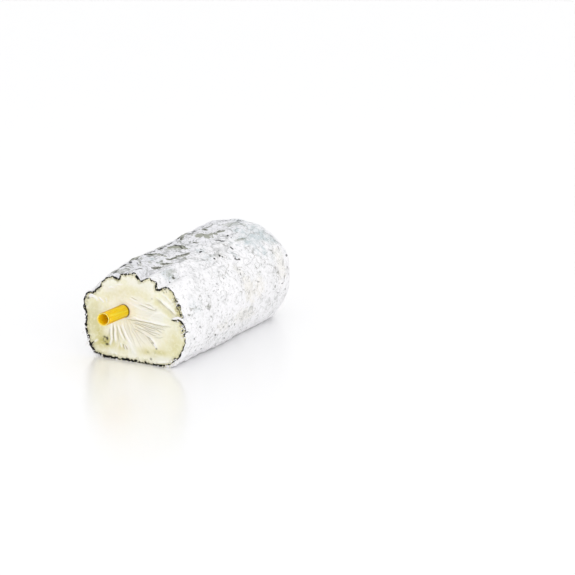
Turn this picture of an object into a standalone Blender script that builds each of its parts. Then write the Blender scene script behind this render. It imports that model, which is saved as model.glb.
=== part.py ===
"""A cut log of goat's milk cheese with a mould-ripened ash rind, and the hollow straw through it.

The log lies on its flattened underside, on Z = 0, with its length along Y. The cut face looks
along -Y and the whole end along +Y. The straw runs through the log and stands out of the cut.
The origin is on the underside, half way along the log. Lengths are in metres, and angles round
the log are in degrees from +X towards +Z.
"""

import math

import bmesh
import bpy
import numpy as np

MM = 0.001

# The log is a long cone that tapers towards the cut and has sagged wide and low.
LOG_LENGTH = 97.0 * MM
CUT_Y = -LOG_LENGTH / 2
END_Y = LOG_LENGTH / 2
CUT_HALF_WIDTH = 25.0 * MM
CUT_HEIGHT = 38.0 * MM
END_HALF_WIDTH = 26.7 * MM
END_HEIGHT = 43.5 * MM
SECTION_POWER = 2.3  # 2 is an ellipse, more is squarer
CENTRE_SHARE = 0.45  # height of the section's centre, as a share of the log's height
SAG = 5.5 * MM  # how far the section would reach below the flat underside
FLOOR_BLEND = 1.6 * MM  # the height over which the sides turn into the underside

# The whole end curves in over END_ROUNDING to a flatter middle, with a dimple at the straw.
END_ROUNDING = 19.5 * MM
END_POWER = 2.6
END_MIDDLE_SHARE = 0.45
END_DIMPLE = 0.8 * MM

# The straw is a dried hollow stalk, and it dips a little towards the whole end.
STRAW_RADIUS = 2.75 * MM
STRAW_WALL = 0.5 * MM
STRAW_GAP = 0.3 * MM
STRAW_X = -4.8 * MM
STRAW_Z = 21.5 * MM
STRAW_TILT = math.radians(1.0)
STRAW_OUT_OF_CUT = 15.5 * MM
STRAW_OUT_OF_END = 1.2 * MM
STRAW_SIDES = 24

# Broad dents all over the rind.
DENT_SIZE = 24.0 * MM
DENT_HEIGHT = 1.3 * MM
DENT_SEED = 18

# Wrinkles, deep on top and shallow on the sides.
WRINKLE_ACROSS = 6.5 * MM
WRINKLE_ALONG = 10.0 * MM
WRINKLE_HEIGHT = 2.4 * MM
WRINKLE_MEAN = 0.27  # taken off, so that wrinkles leave the log's size alone
WRINKLE_ROUNDNESS = 0.1
WRINKLE_SIDE_SHARE = 0.3
WRINKLE_SEED = 1
CALM_NEAR_CUT = 9.0 * MM  # the cut's own folds take over from the noise here

# Folds in the outline of the cut: place and width in degrees, height, reach along the log.
FOLDS = (
    (8.5, 3.5, -1.5 * MM, 8 * MM),
    (20.0, 4.0, -0.7 * MM, 10 * MM),
    (42.0, 6.0, 0.8 * MM, 20 * MM),
    (53.0, 4.0, -2.9 * MM, 18 * MM),
    (79.0, 4.5, -2.5 * MM, 20 * MM),
    (88.5, 5.0, 0.8 * MM, 18 * MM),
    (102.0, 4.0, -0.6 * MM, 14 * MM),
    (111.0, 3.5, -1.7 * MM, 16 * MM),
    (124.0, 12.0, -1.2 * MM, 7 * MM),
    (141.5, 7.0, -2.9 * MM, 6 * MM),
    (150.0, 3.0, -1.5 * MM, 5 * MM),
    (181.0, 9.0, -1.2 * MM, 16 * MM),
    (199.0, 4.0, -0.6 * MM, 10 * MM),
    (224.5, 3.5, -1.3 * MM, 10 * MM),
    (310.0, 4.0, -0.7 * MM, 10 * MM),
    (322.0, 4.0, -0.7 * MM, 14 * MM),
    (337.0, 3.5, -0.4 * MM, 10 * MM),
)

# The cut is a little uneven, with a fan of ridges torn from the straw down and to the right.
CUT_UNEVEN = 0.7 * MM
CUT_UNEVEN_SIZE = 12.0 * MM
CUT_SEED = 29
FAN_FROM = -115.0
FAN_TO = 5.0
FAN_RIDGES = 8
FAN_HEIGHT = 0.3 * MM
FAN_START = 4.0 * MM
FAN_REACH = 17.0 * MM

# Grid of the surface: sides round the log, closer together on top, and rows along it.
SIDES = 104
TOP_CROWDING = 0.35
BODY_ROWS = 27
ROUNDING_ROWS = 7
MIDDLE_ROWS = 3
BORE_ROWS = 3
CUT_ROWS = 7
SHARP_EDGE = math.radians(50)

RIND_COLOUR = (0.83, 0.83, 0.82, 1.0)
PASTE_COLOUR = (0.83, 0.78, 0.55, 1.0)
STRAW_COLOUR = (0.87, 0.55, 0.03, 1.0)


def clear_scene():
    for thing in list(bpy.data.objects):
        bpy.data.objects.remove(thing)


def make_material(name, colour, roughness):
    material = bpy.data.materials.new(name)
    material.use_nodes = True
    shader = material.node_tree.nodes["Principled BSDF"]
    shader.inputs["Base Color"].default_value = colour
    shader.inputs["Roughness"].default_value = roughness
    shader.inputs["Metallic"].default_value = 0.0
    return material


def corner_slopes(cells, seed):
    """A repeatable pseudo-random slope, each part from -1 to 1, for each whole-numbered cell."""
    mixed = cells[..., 0] * 73856093 ^ cells[..., 1] * 19349663 ^ cells[..., 2] * 83492791
    mixed = (mixed ^ seed * 2654435761) & 0xFFFFFFFF
    mixed = (mixed ^ mixed >> 15) * 2246822519 & 0xFFFFFFFF
    mixed = (mixed ^ mixed >> 13) * 3266489917 & 0xFFFFFFFF
    return np.stack([(mixed >> shift & 1023) / 511.5 - 1 for shift in (2, 12, 22)], axis=-1)


def smooth_noise(points, seed):
    """Gradient noise, about -0.7 to 0.7: slopes at the eight corners, blended by a smooth fade."""
    base = np.floor(points).astype(np.int64)
    part = points - base
    fade = part**3 * (part * (part * 6 - 15) + 10)
    total = np.zeros(points.shape[:-1])
    for corner in np.ndindex(2, 2, 2):
        offset = np.array(corner)
        weight = np.prod(np.where(offset, fade, 1 - fade), axis=-1)
        total += weight * (corner_slopes(base + offset, seed) * (part - offset)).sum(axis=-1)
    return total


def bell(distance, width):
    return np.exp(-((distance / width) ** 2))


def fold_relief(degrees, y):
    """The cut's folds as bell curves round the section, fading as bell curves along the log."""
    relief = np.zeros(np.broadcast(degrees, y).shape)
    for place, width, height, reach in FOLDS:
        offset = (degrees - place + 180) % 360 - 180
        relief += height * bell(offset, width) * bell(y - CUT_Y, reach)
    return relief


def rind_relief(points, degrees):
    """Height of the rind over the plain section: dents, wrinkles and the cut's folds.

    The wrinkles are the rounded absolute value of noise, so they swell between narrow creases.
    """
    dents = smooth_noise(points / DENT_SIZE, DENT_SEED) * DENT_HEIGHT
    grain = np.array([WRINKLE_ACROSS, WRINKLE_ALONG, WRINKLE_ACROSS])
    creased = np.hypot(smooth_noise(points / grain, WRINKLE_SEED), WRINKLE_ROUNDNESS)
    topness = np.clip(np.sin(np.radians(degrees)), 0, 1)
    share = WRINKLE_SIDE_SHARE + (1 - WRINKLE_SIDE_SHARE) * topness
    wrinkles = (creased - WRINKLE_MEAN) * share * WRINKLE_HEIGHT
    away_from_cut = 1 - bell(points[..., 1] - CUT_Y, CALM_NEAR_CUT)
    return (dents + wrinkles) * away_from_cut + fold_relief(degrees, points[..., 1])


def section_reach(degrees, y):
    """Distance from the section's centre to a superellipse, and the height of that centre."""
    share = (y - CUT_Y) / LOG_LENGTH
    half_width = CUT_HALF_WIDTH + (END_HALF_WIDTH - CUT_HALF_WIDTH) * share
    height = CUT_HEIGHT + (END_HEIGHT - CUT_HEIGHT) * share
    centre_z = CENTRE_SHARE * height
    sideways = np.cos(np.radians(degrees))
    upwards = np.sin(np.radians(degrees))
    half_height = np.where(upwards > 0, height - centre_z, centre_z + SAG)
    total = np.abs(sideways / half_width) ** SECTION_POWER
    total = total + np.abs(upwards / half_height) ** SECTION_POWER
    return total ** (-1 / SECTION_POWER), centre_z


def rest_on_floor(height):
    """The height, eased by a parabola into a flat zero over the blend."""
    eased = (height + FLOOR_BLEND) ** 2 / (4 * FLOOR_BLEND)
    return np.where(np.abs(height) < FLOOR_BLEND, eased, np.maximum(height, 0))


def straw_line(y):
    """X and Z of the straw's axis."""
    return STRAW_X, STRAW_Z - (y - CUT_Y) * math.tan(STRAW_TILT)


def bore_ring(degrees, y):
    """A ring round the straw's axis, wider than the straw by the gap."""
    x, z = straw_line(y)
    radius = STRAW_RADIUS + STRAW_GAP
    turn = np.radians(degrees)
    return np.stack(
        [x + radius * np.cos(turn), np.full_like(turn, y), z + radius * np.sin(turn)], axis=-1
    )


def outer_rows():
    """Place along Y and size of each row: straight, then a quarter of a superellipse."""
    straight = np.linspace(CUT_Y, END_Y - END_ROUNDING, BODY_ROWS)
    turn = np.linspace(0, math.pi / 2, ROUNDING_ROWS + 1)[1:]
    curve_y = END_Y - END_ROUNDING + END_ROUNDING * np.sin(turn) ** (2 / END_POWER)
    shrink = np.cos(turn).clip(0) ** (2 / END_POWER)
    curve_size = END_MIDDLE_SHARE + (1 - END_MIDDLE_SHARE) * shrink
    return np.append(straight, curve_y), np.append(np.ones(BODY_ROWS), curve_size)


def rind_rows(degrees):
    """The rind from the cut to the bore's far mouth, as rows of points.

    Rows shrink about the section's centre through the rounding, and then run straight in to the
    bore. Relief goes outwards on the body, turns to +Y through the rounding, and ends at the bore.
    """
    y, size = outer_rows()
    y = y[:, None]
    size = size[:, None]
    reach, centre_z = section_reach(degrees, y)
    turn = np.radians(degrees)
    body = np.stack(
        [
            reach * size * np.cos(turn),
            np.broadcast_to(y, reach.shape),
            centre_z + reach * size * np.sin(turn),
        ],
        axis=-1,
    )
    ring = bore_ring(degrees, END_Y - END_DIMPLE)
    inward = np.linspace(0, 1, MIDDLE_ROWS + 1)[1:, None, None]
    rows = np.concatenate([body, body[-1] + (ring - body[-1]) * inward])
    turned = np.clip((1 - size) / (1 - END_MIDDLE_SHARE), 0, 1)
    turned = np.append(turned, np.ones(MIDDLE_ROWS))[:, None]
    hold = np.append(np.ones(len(body)), 1 - inward)[:, None]
    relief = rind_relief(rows, degrees) * hold
    rows[..., 0] += relief * (1 - turned) * np.cos(turn)
    rows[..., 1] += relief * turned
    rows[..., 2] += relief * (1 - turned) * np.sin(turn)
    rows[..., 2] = rest_on_floor(rows[..., 2])
    return rows


def cut_relief(points):
    """Uneven noise, and a fan of ridges as a cosine of the bearing from the straw."""
    bore_x, bore_z = straw_line(CUT_Y)
    across = points[..., 0] - bore_x
    upwards = points[..., 2] - bore_z
    share = (np.degrees(np.arctan2(upwards, across)) - FAN_FROM) / (FAN_TO - FAN_FROM)
    inside = np.clip(4 * share * (1 - share), 0, 1)
    middle = (FAN_START + FAN_REACH) / 2
    along = bell(np.hypot(across, upwards) - middle, FAN_REACH - middle)
    ridges = np.cos(share * FAN_RIDGES * 2 * math.pi) * inside * along * FAN_HEIGHT
    return smooth_noise(points / CUT_UNEVEN_SIZE, CUT_SEED) * CUT_UNEVEN + ridges


def cut_rows(rim, ring):
    """The cut face from the bore's mouth out to just short of the rim, which stays sharp."""
    share = np.linspace(0, 1, CUT_ROWS + 1)[:-1, None]
    rows = ring + (rim - ring) * share[..., None]
    hold = np.where(share > 0, 1 - share**6, 0)
    rows[..., 1] -= cut_relief(rows) * hold
    return rows


def side_angles():
    """Angles round the section in degrees, crowded towards the top by a cosine."""
    turn = np.linspace(0, 2 * math.pi, SIDES, endpoint=False)
    return np.degrees(turn + TOP_CROWDING * np.cos(turn))


def closed_grid(name, rows):
    """A mesh from rows of points that close on themselves both ways."""
    mesh = bpy.data.meshes.new(name)
    grid = bmesh.new()
    corners = [[grid.verts.new(point) for point in row] for row in rows]
    for i, row in enumerate(corners):
        following = corners[(i + 1) % len(corners)]
        for j in range(len(row)):
            after = (j + 1) % len(row)
            grid.faces.new((row[j], row[after], following[after], following[j]))
    bmesh.ops.recalc_face_normals(grid, faces=grid.faces)
    grid.to_mesh(mesh)
    grid.free()
    mesh.shade_smooth()
    mesh.set_sharp_from_angle(angle=SHARP_EDGE)
    return mesh


def make_cheese():
    """Out along the rind, in over the whole end, back down the bore and out over the cut."""
    degrees = side_angles()
    rind = rind_rows(degrees)
    bore_y = np.linspace(END_Y - END_DIMPLE, CUT_Y, BORE_ROWS + 1)[1:-1]
    bore = [bore_ring(degrees, y) for y in bore_y]
    cut = cut_rows(rind[0], bore_ring(degrees, CUT_Y))
    mesh = closed_grid("cheese", np.concatenate([rind, bore, cut]))
    mesh.materials.append(make_material("mould_rind", RIND_COLOUR, 0.9))
    mesh.materials.append(make_material("cheese_paste", PASTE_COLOUR, 0.45))
    first_paste_face = (len(rind) - 1) * SIDES
    for face in mesh.polygons[first_paste_face:]:
        face.material_index = 1
    cheese = bpy.data.objects.new("cheese", mesh)
    bpy.context.scene.collection.objects.link(cheese)


def make_straw():
    """A tube along the straw's axis, thickened inwards."""
    near_y = CUT_Y - STRAW_OUT_OF_CUT
    far_y = END_Y + STRAW_OUT_OF_END
    mesh = bpy.data.meshes.new("straw")
    tube = bmesh.new()
    bmesh.ops.create_cone(
        tube,
        cap_ends=False,
        segments=STRAW_SIDES,
        radius1=STRAW_RADIUS,
        radius2=STRAW_RADIUS,
        depth=far_y - near_y,
    )
    tube.to_mesh(mesh)
    tube.free()
    mesh.shade_smooth()
    mesh.materials.append(make_material("dried_stalk", STRAW_COLOUR, 0.35))
    straw = bpy.data.objects.new("straw", mesh)
    middle_y = (near_y + far_y) / 2
    x, z = straw_line(middle_y)
    straw.location = (x, middle_y, z)
    straw.rotation_euler = (math.pi / 2 - STRAW_TILT, 0.0, 0.0)
    wall = straw.modifiers.new("wall", "SOLIDIFY")
    wall.thickness = STRAW_WALL
    wall.offset = -1.0
    bpy.context.scene.collection.objects.link(straw)


def main():
    clear_scene()
    make_cheese()
    make_straw()


if __name__ == "__main__":
    main()
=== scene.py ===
"""A cut log of ash-ripened goat's milk cheese and its hollow straw, dressed for a picture.

The log and the straw of the frame are replaced by finer surfaces on the same formulas. The mould
rind gets its small wrinkles and the bare patches where its ash shows. The cut gets the strokes of
the knife and the dark line of ash at its edge, and the straw gets its ribs. Lengths are in metres
unless a name says mm, and angles round the log are in degrees from +X towards +Z.
"""

import math
from functools import partial

import bmesh
import bpy
import numpy as np
from bpy.props import FloatProperty, FloatVectorProperty, PointerProperty
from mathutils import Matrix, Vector


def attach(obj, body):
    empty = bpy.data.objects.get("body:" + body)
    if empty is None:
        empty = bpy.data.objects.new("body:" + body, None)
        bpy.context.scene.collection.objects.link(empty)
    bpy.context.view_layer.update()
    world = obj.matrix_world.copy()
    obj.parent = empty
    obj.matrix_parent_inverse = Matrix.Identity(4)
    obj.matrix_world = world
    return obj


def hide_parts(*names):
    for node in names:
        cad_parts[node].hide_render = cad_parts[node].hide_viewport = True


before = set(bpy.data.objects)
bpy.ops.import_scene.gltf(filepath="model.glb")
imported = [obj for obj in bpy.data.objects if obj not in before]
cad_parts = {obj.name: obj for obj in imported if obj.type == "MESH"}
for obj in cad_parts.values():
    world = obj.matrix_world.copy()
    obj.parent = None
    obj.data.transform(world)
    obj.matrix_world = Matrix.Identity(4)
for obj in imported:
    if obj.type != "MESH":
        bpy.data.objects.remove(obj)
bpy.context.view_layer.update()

bl_info = {
    "name": "Cut Goat's Cheese Log",
    "version": (1, 0, 0),
    "blender": (4, 5, 0),
    "location": "View3D > Sidebar > Cheese",
    "description": "Adds a cut log of ash-ripened goat's cheese, its straw and a studio",
    "category": "Add Mesh",
}

MM = 0.001

# The plain log, as in the solid: a long cone that tapers towards the cut and has sagged.
LOG_LENGTH = 97.0 * MM
CUT_Y = -LOG_LENGTH / 2
END_Y = LOG_LENGTH / 2
CUT_HALF_WIDTH = 25.0 * MM
CUT_HEIGHT = 38.0 * MM
END_HALF_WIDTH = 26.7 * MM
END_HEIGHT = 43.5 * MM
SECTION_POWER = 2.3
CENTRE_SHARE = 0.45
SAG = 5.5 * MM
FLOOR_BLEND = 1.6 * MM
END_ROUNDING = 19.5 * MM
END_POWER = 2.6
END_MIDDLE_SHARE = 0.45
END_DIMPLE = 0.8 * MM

# The straw's line and size, as in the solid.
STRAW_RADIUS = 2.75 * MM
STRAW_WALL = 0.5 * MM
STRAW_X = -4.8 * MM
STRAW_Z = 21.5 * MM
STRAW_TILT = math.radians(1.0)
STRAW_OUT_OF_CUT = 15.5 * MM
STRAW_OUT_OF_END = 1.2 * MM
BORE_GAP = 0.05 * MM  # the paste clings to the straw

# Dents and wrinkles of the rind, and the folds at the cut, as in the solid.
DENT_SIZE = 24.0 * MM
DENT_HEIGHT = 1.3 * MM
DENT_SEED = 18
WRINKLE_ACROSS = 6.5 * MM
WRINKLE_ALONG = 10.0 * MM
WRINKLE_HEIGHT = 2.4 * MM
WRINKLE_MEAN = 0.27
WRINKLE_ROUNDNESS = 0.1
WRINKLE_SIDE_SHARE = 0.3
WRINKLE_SEED = 1
CALM_NEAR_CUT = 9.0 * MM
FOLDS = (  # place and width in degrees, height, reach along the log
    (8.5, 3.5, -1.5 * MM, 8 * MM), (20, 4, -0.7 * MM, 10 * MM), (42, 6, 0.8 * MM, 20 * MM),
    (53, 4, -2.9 * MM, 18 * MM), (79, 4.5, -2.5 * MM, 20 * MM), (88.5, 5, 0.8 * MM, 18 * MM),
    (102, 4, -0.6 * MM, 14 * MM), (111, 3.5, -1.7 * MM, 16 * MM), (124, 12, -1.2 * MM, 7 * MM),
    (141.5, 7, -2.9 * MM, 6 * MM), (150, 3, -1.5 * MM, 5 * MM), (181, 9, -1.2 * MM, 16 * MM),
    (199, 4, -0.6 * MM, 10 * MM), (224.5, 3.5, -1.3 * MM, 10 * MM), (310, 4, -0.7 * MM, 10 * MM),
    (322, 4, -0.7 * MM, 14 * MM), (337, 3.5, -0.4 * MM, 10 * MM),
)
CUT_UNEVEN = 0.7 * MM
CUT_UNEVEN_SIZE = 12.0 * MM
CUT_SEED = 29
FAN_FROM = -115.0
FAN_TO = 5.0
FAN_RIDGES = 8
FAN_HEIGHT = 0.12 * MM
FAN_START = 4.0 * MM
FAN_REACH = 17.0 * MM

# The grid of the cheese's surface. Rows at the edge of the cut are given as distances from it.
SIDES = 320
TOP_CROWDING = 0.35
BODY_ROWS = 152
ROUNDING_ROWS = 48
MIDDLE_ROWS = 14
BORE_ROWS = 3
CUT_ROWS = 76
EDGE_ROWS = tuple(distance * MM for distance in (1.7, 1.35, 1.05, 0.8, 0.6, 0.45, 0.3, 0.15))
FIRST_RIND_ROW = 0.15 * MM
RIM_WINDOW = 14  # columns either way that are searched for the nearest side of the rim

# The rind's fine skin: worm-like wrinkles and cotton, smaller than the solid shows.
WORM_SIZE = 2.6 * MM
WORM_ROUNDNESS = 0.08
WORM_SEED = 41
WORM_MEAN = 0.25
WORM_SIDE_SHARE = 0.6  # height away from the grey top
# Noises from here on are given as size, seed and height.
COTTON = ((0.9 * MM, 57, 0.09 * MM),)
CRINKLES = ((1.4 * MM, 77, 0.5 * MM), (2.6 * MM, 78, 0.8 * MM))  # at the edge of the cut
CRINKLE_REACH = 3.0 * MM
SMALL_FOLDS = (  # place and width in degrees, and height, of folds at the very edge of the cut
    (80.5, 2.2, 0.6 * MM), (73.2, 2.8, -0.9 * MM), (61.5, 2.5, -0.3 * MM), (46.5, 3, 0.4 * MM),
    (223, 8, 0.9 * MM),
)
SMALL_FOLD_REACH = 5.0 * MM
STRAIGHT_DOWN = 270.0
FOOT_PLACE = 48.0  # degrees either way from straight down, where the rind meets the table
FOOT_REACH = 13.0
FOOT_CREASES = ((3.2 * MM, 79, 0.9 * MM),)
SUNKEN_EDGE = (0.35, 0.65)  # of the field of bare patches, where they sink
MM_PER_DEGREE = 0.42  # round the log
BODY_RADIUS = 24.0 * MM  # about, for lengths over the whole end

# The thin grey mould of the top, in degrees round the log and mm from the cut. Its grey is partly
# real and partly painted shade of the top and the shoulders.
GREY_MIDDLE = 100.0
GREY_EDGE = (18.0, 50.0)  # from the middle, where it thins out
GREY_WANDER = ((9.0 * MM, 63, 16.0), (3.0 * MM, 64, 10.0))
GREY_END_SHRINK = 60.0  # narrower towards the middle of the whole end
GREY_PLAIN = 0.75
SHADE_SHOULDER = ((118.0, 20.0, 0.25),)  # painted shade on the far shoulder: place, reach and how much greyer
GREY_NEAR_EDGE = (16.0, 34.0)  # from the middle, on the side that is whiter at the cut, partly as painted light in the folds there
GREY_CLEAN_CUT = 0.5
GREY_CLEAN_REACH = 5.0
SHADE_SIDE = ((54.0, 20.0, 0.28),)  # painted shade on the right shoulder, laid on as a veil of grey
SHADE_SIDE_START = 8.0

# How the marks and tints below are drawn.
MARK_EDGE = (0.5, 1.5)  # shares of its size between which a mark fades
MARK_WARP = ((2.2 * MM, 61, 0.9), (1.1 * MM, 62, 0.7))
SOOT_WARP_SHARE = 0.6
SHADE_LIP_ALONG = 0.5  # mm, and degrees: how far a bare patch is moved to leave its dark lip, painted shade where the mould overhangs its far edge
SHADE_LIP_ROUND = 1.5
FLECK_BEND = 3.0 * MM  # pulls the flecks out of round
# Where the hollows of the worms and wrinkles get dark lines: partly ash and partly painted shade in
# the hollows.
BROKEN_NOISE = ((5.0 * MM, 65, 1.0),)
BROKEN_EDGE = (-0.2, 0.25)
WHOLE_AT_CUT = 0.7  # how much less the hollows are lined beside the cut
WHOLE_REACH = 16.0  # mm

# Bare patches where the ash shows, on top: along from the cut in mm, degrees round the log, half
# length and half width in mm, turn from the log's length in degrees, strength.
ASH_PATCHES = (
    (13.7, 81.5, 3.5, 0.7, 24, 0.6), (5.3, 92.5, 1.8, 0.7, 66, 0.7),
    (24.9, 81.5, 2.6, 0.9, 32, 0.75), (19.7, 77.5, 2.1, 1, 53, 0.7),
    (31.4, 75.6, 3.2, 1.1, 14, 0.75), (28.5, 70, 1, 0.8, 115, 0.5),
    (39.7, 96.8, 5.6, 2.1, 90, 0.95), (36.6, 100.1, 3.3, 1.6, 90, 0.4),
    (59, 93.3, 4.8, 3.4, 120, 0.85), (67.9, 83.5, 2.1, 1.2, 18, 0.9),
    (62.9, 83.3, 1.7, 1.1, 154, 0.75), (69.7, 107.9, 3.4, 0.7, 114, 0.85),
    (55.6, 114.8, 4.1, 0.8, 150, 0.85), (48.7, 86.7, 1.8, 0.6, 101, 0.5),
    (77.5, 87.2, 3.1, 2.5, 55, 0.3), (80.3, 75.3, 2, 1.3, 23, 0.2),
    (75.1, 105.3, 1.8, 0.8, 135, 0.4), (29.3, 114.9, 2.3, 1.2, 93, 1),
    (29, 104.5, 2.8, 0.7, 100, 0.85), (26.2, 93.9, 2.3, 1, 115, 0.75),
    (14.6, 105.8, 3.6, 0.8, 142, 0.5), (17.1, 96.1, 2.6, 0.7, 131, 0.5),
    (18.5, 86.5, 1.6, 0.7, 21, 0.4), (9.8, 60.3, 1.7, 1, 8, 0.4), (12.2, 61.4, 2.7, 1.5, 179, 0.35),
    (11.4, 55, 0.9, 0.6, 46, 0.6), (66.5, 57, 3, 1, 20, 0.3), (4.1, 12.4, 1.3, 0.5, 20, 0.4),
    (18.5, 11.3, 2, 0.6, 13, 0.3), (11, 134, 3.6, 1.7, 20, 0.8), (27, 130, 4, 1.8, 172, 0.8),
    (46, 126, 4, 1.7, 4, 0.8), (63, 126, 3.6, 1.5, 176, 0.8),
)

# Dark marks of bare ash, in the same terms.
SOOT_MARKS = (
    (5.3, 92.5, 2, 0.45, 66, 0.8), (24.9, 83, 2.2, 0.25, 32, 0.3), (19.7, 79.2, 1.6, 0.3, 53, 0.4),
    (41.7, 99.1, 6, 0.5, 119, 0.7), (69.7, 107.9, 3.4, 0.4, 114, 0.8),
    (55.6, 116, 3.8, 0.4, 150, 0.6), (59.6, 123.5, 1.4, 0.9, 100, 0.9),
    (29.3, 116.5, 2.2, 0.5, 93, 0.7), (26.2, 95.5, 2.3, 0.4, 115, 0.6),
    (16.8, 112.1, 1.2, 0.3, 126, 0.6), (18.4, 111.4, 1.3, 0.3, 135, 0.6),
    (18.7, 108.9, 1.4, 0.3, 165, 0.6), (48.7, 86.7, 1.8, 0.35, 101, 0.6),
    (58.3, 69.3, 2.8, 0.55, 56, 0.9), (65.3, 71.1, 0.75, 0.5, 152, 1),
    (64.3, 65.8, 0.5, 0.35, 159, 0.9), (40.7, 68.3, 1.2, 0.5, 175, 1), (43, 71.8, 2, 0.35, 84, 0.6),
    (41, 51.8, 0.75, 0.5, 5, 1), (45.6, 51.8, 1, 0.35, 138, 0.9), (46.4, 49, 1.1, 0.35, 135, 0.8),
    (56.8, 53.4, 1.3, 0.55, 113, 0.9), (53.5, 38.9, 1.1, 0.4, 14, 0.85),
    (52.3, 40.6, 0.7, 0.45, 60, 0.9), (53, 43.8, 1.4, 0.4, 88, 0.45),
    (11.4, 55, 0.7, 0.45, 46, 0.5), (8.3, 53, 0.55, 0.42, 146, 1), (80.8, 97.5, 1.7, 0.5, 24, 0.5),
    (84.4, 84.5, 1, 0.6, 36, 0.6), (75.1, 105.3, 1.6, 0.4, 135, 0.5),
    (82.3, 0.5, 1.6, 0.4, 98, 0.8), (80.4, 357, 0.7, 0.5, 0, 0.8),
    (89.6, 20.6, 1.4, 0.45, 171, 0.7), (86.9, 10.3, 1.2, 0.45, 33, 0.4),
    (84.4, 349.1, 0.8, 0.4, 35, 0.5), (76.7, 350.3, 1, 0.35, 14, 0.7),
    (83.1, 30.7, 1.5, 0.4, 112, 0.45), (48.7, 25.9, 0.7, 0.5, 140, 0.6),
    (49.2, 31.2, 1, 0.3, 143, 0.4), (51.3, 5.5, 1, 0.4, 121, 0.4), (59.4, 10.8, 0.9, 0.35, 29, 0.5),
    (62.5, 2.2, 0.8, 0.35, 80, 0.3), (29.7, 26.8, 1.1, 0.35, 11, 0.4),
    (41.9, 33.2, 0.7, 0.35, 0, 0.5), (10.7, 356.3, 0.6, 0.35, 20, 0.4),
    (25.8, 339.2, 0.7, 0.35, 23, 0.5), (20, 20.9, 0.7, 0.35, 10, 0.4),
    # The marks at 112 to 136 degrees, along the far shoulder, are partly ash and partly painted
    # shade where it turns away from the light.
    (6, 123.5, 2.6, 0.9, 160, 0.7), (9.5, 130, 1.6, 0.6, 95, 0.5), (14, 126.5, 2.2, 1.1, 20, 0.8),
    (18.5, 124, 2.4, 0.8, 165, 0.85), (23.5, 124.5, 2.2, 1.2, 35, 0.8),
    (25, 131, 1.8, 0.5, 75, 0.55), (29, 120.5, 2.4, 0.9, 165, 0.85), (33.5, 119, 2, 1.2, 40, 0.75),
    (38, 115.5, 2.2, 0.8, 172, 0.85), (41, 118.5, 2.6, 0.7, 80, 0.7), (45, 115, 2.2, 0.9, 168, 0.8),
    (49.5, 117, 2.4, 1, 30, 0.65), (50.5, 125, 2, 0.5, 100, 0.5), (54.5, 119.5, 2.2, 0.8, 162, 0.8),
    (59, 121.5, 2, 1.4, 60, 0.9), (64, 119, 2, 0.8, 165, 0.7), (69, 119.5, 1.8, 1.1, 110, 0.6),
    (74, 117.5, 2.4, 0.7, 20, 0.65), (78.5, 112.5, 1.8, 0.7, 60, 0.5), (34, 133, 1.6, 0.5, 70, 0.5),
    (44, 130, 1.4, 0.5, 110, 0.5), (63, 132, 1.5, 0.5, 85, 0.5), (17, 136, 1.3, 0.45, 60, 0.5),
    (71, 128, 1.4, 0.5, 100, 0.45), (83, 101, 3.5, 0.8, 90, 0.5), (88.1, 88, 1.4, 0.6, 61, 0.5),
    (89.3, 69, 1.5, 0.5, 29, 0.4), (86.1, 45, 2, 0.4, 16, 0.5), (89.3, 34, 1.6, 0.6, 149, 0.5),
    (83, 16.6, 2, 0.9, 130, 0.3), (10.4, 357.2, 0.8, 0.5, 23, 0.5), (21, 348, 0.9, 0.45, 17, 0.45),
    (25.1, 339.6, 1.1, 0.45, 27, 0.8), (6.7, 347.4, 0.6, 0.45, 21, 0.7),
    (16.1, 330.4, 1.2, 0.45, 28, 0.7), (10.9, 332.3, 1, 0.45, 27, 0.4),
    (27, 351.4, 0.8, 0.4, 30, 0.35), (35.5, 342, 1, 0.4, 18, 0.45), (30.8, 343.2, 1, 0.4, 17, 0.35),
    (39.7, 341.4, 0.7, 0.45, 25, 0.5), (17.9, 9.7, 1.1, 0.5, 20, 0.35),
    (34.7, 329.2, 1.7, 0.4, 27, 0.4),
)

# Where flecks of ash lie close together, in the same terms.
CROWDS = (
    (26.8, 22.6, 5, 2, 10, 1), (18.5, 10.4, 4, 2, 13, 0.8), (7.8, 359, 4, 1.4, 16, 0.7),
    (43.4, 3, 5, 2.4, 17, 0.7), (72.6, 22.6, 5.5, 2.6, 7, 1), (70.7, 34.8, 4, 1.8, 7, 0.7),
    (33.6, 53, 3.6, 2, 176, 0.8), (56.5, 32.4, 3.6, 1.2, 12, 0.7), (17.1, 48.8, 5, 3.4, 149, 0.5),
    (8, 25, 5.6, 2, 12, 0.4), (50, 43, 4, 2, 60, 0.8), (82, 15, 3, 5, 0, 0.8),
    (34, 18, 11, 6, 165, 0.8), (52, 350, 12, 5, 170, 0.5), (20, 342, 12, 3, 26, 1),
    (36, 345, 9, 2.6, 22, 0.9), (18, 8, 9, 7, 12, 0.6), (78, 5, 5, 7, 80, 0.8),
)

# Faint tints of the rind, in the same terms.
BLUE_TINTS = (
    (76, 52, 11, 8, 20, 1), (84, 75, 8, 8, 0, 0.7), (73, 44, 7, 5, 8, 0.9), (11, 62, 4, 3, 0, 0.7),
    (39, 55, 5, 2.5, 0, 0.45), (9, 20, 4, 3, 60, 0.4), (20, 87.7, 1.9, 1.2, 3, 1),
    (22.6, 102.8, 2.6, 0.9, 113, 1), (42, 70, 2.6, 2, 169, 0.7), (53.7, 45.3, 1.8, 1.2, 86, 1),
    (71, 34, 2.4, 1.2, 11, 1), (8, 58, 2.6, 1.6, 20, 0.9),
)
WARM_TINTS = (
    (52, 8, 6, 4, 60, 1), (60, 6, 4, 5, 90, 0.8), (48, 345, 9, 3, 10, 0.7),
    (45, 52, 4, 1.5, 0, 0.5), (30, 345, 6, 2, 10, 0.5), (81, 16, 4, 7, 0, 0.8),
    (49, 29, 3, 2, 60, 0.6),
)
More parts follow.
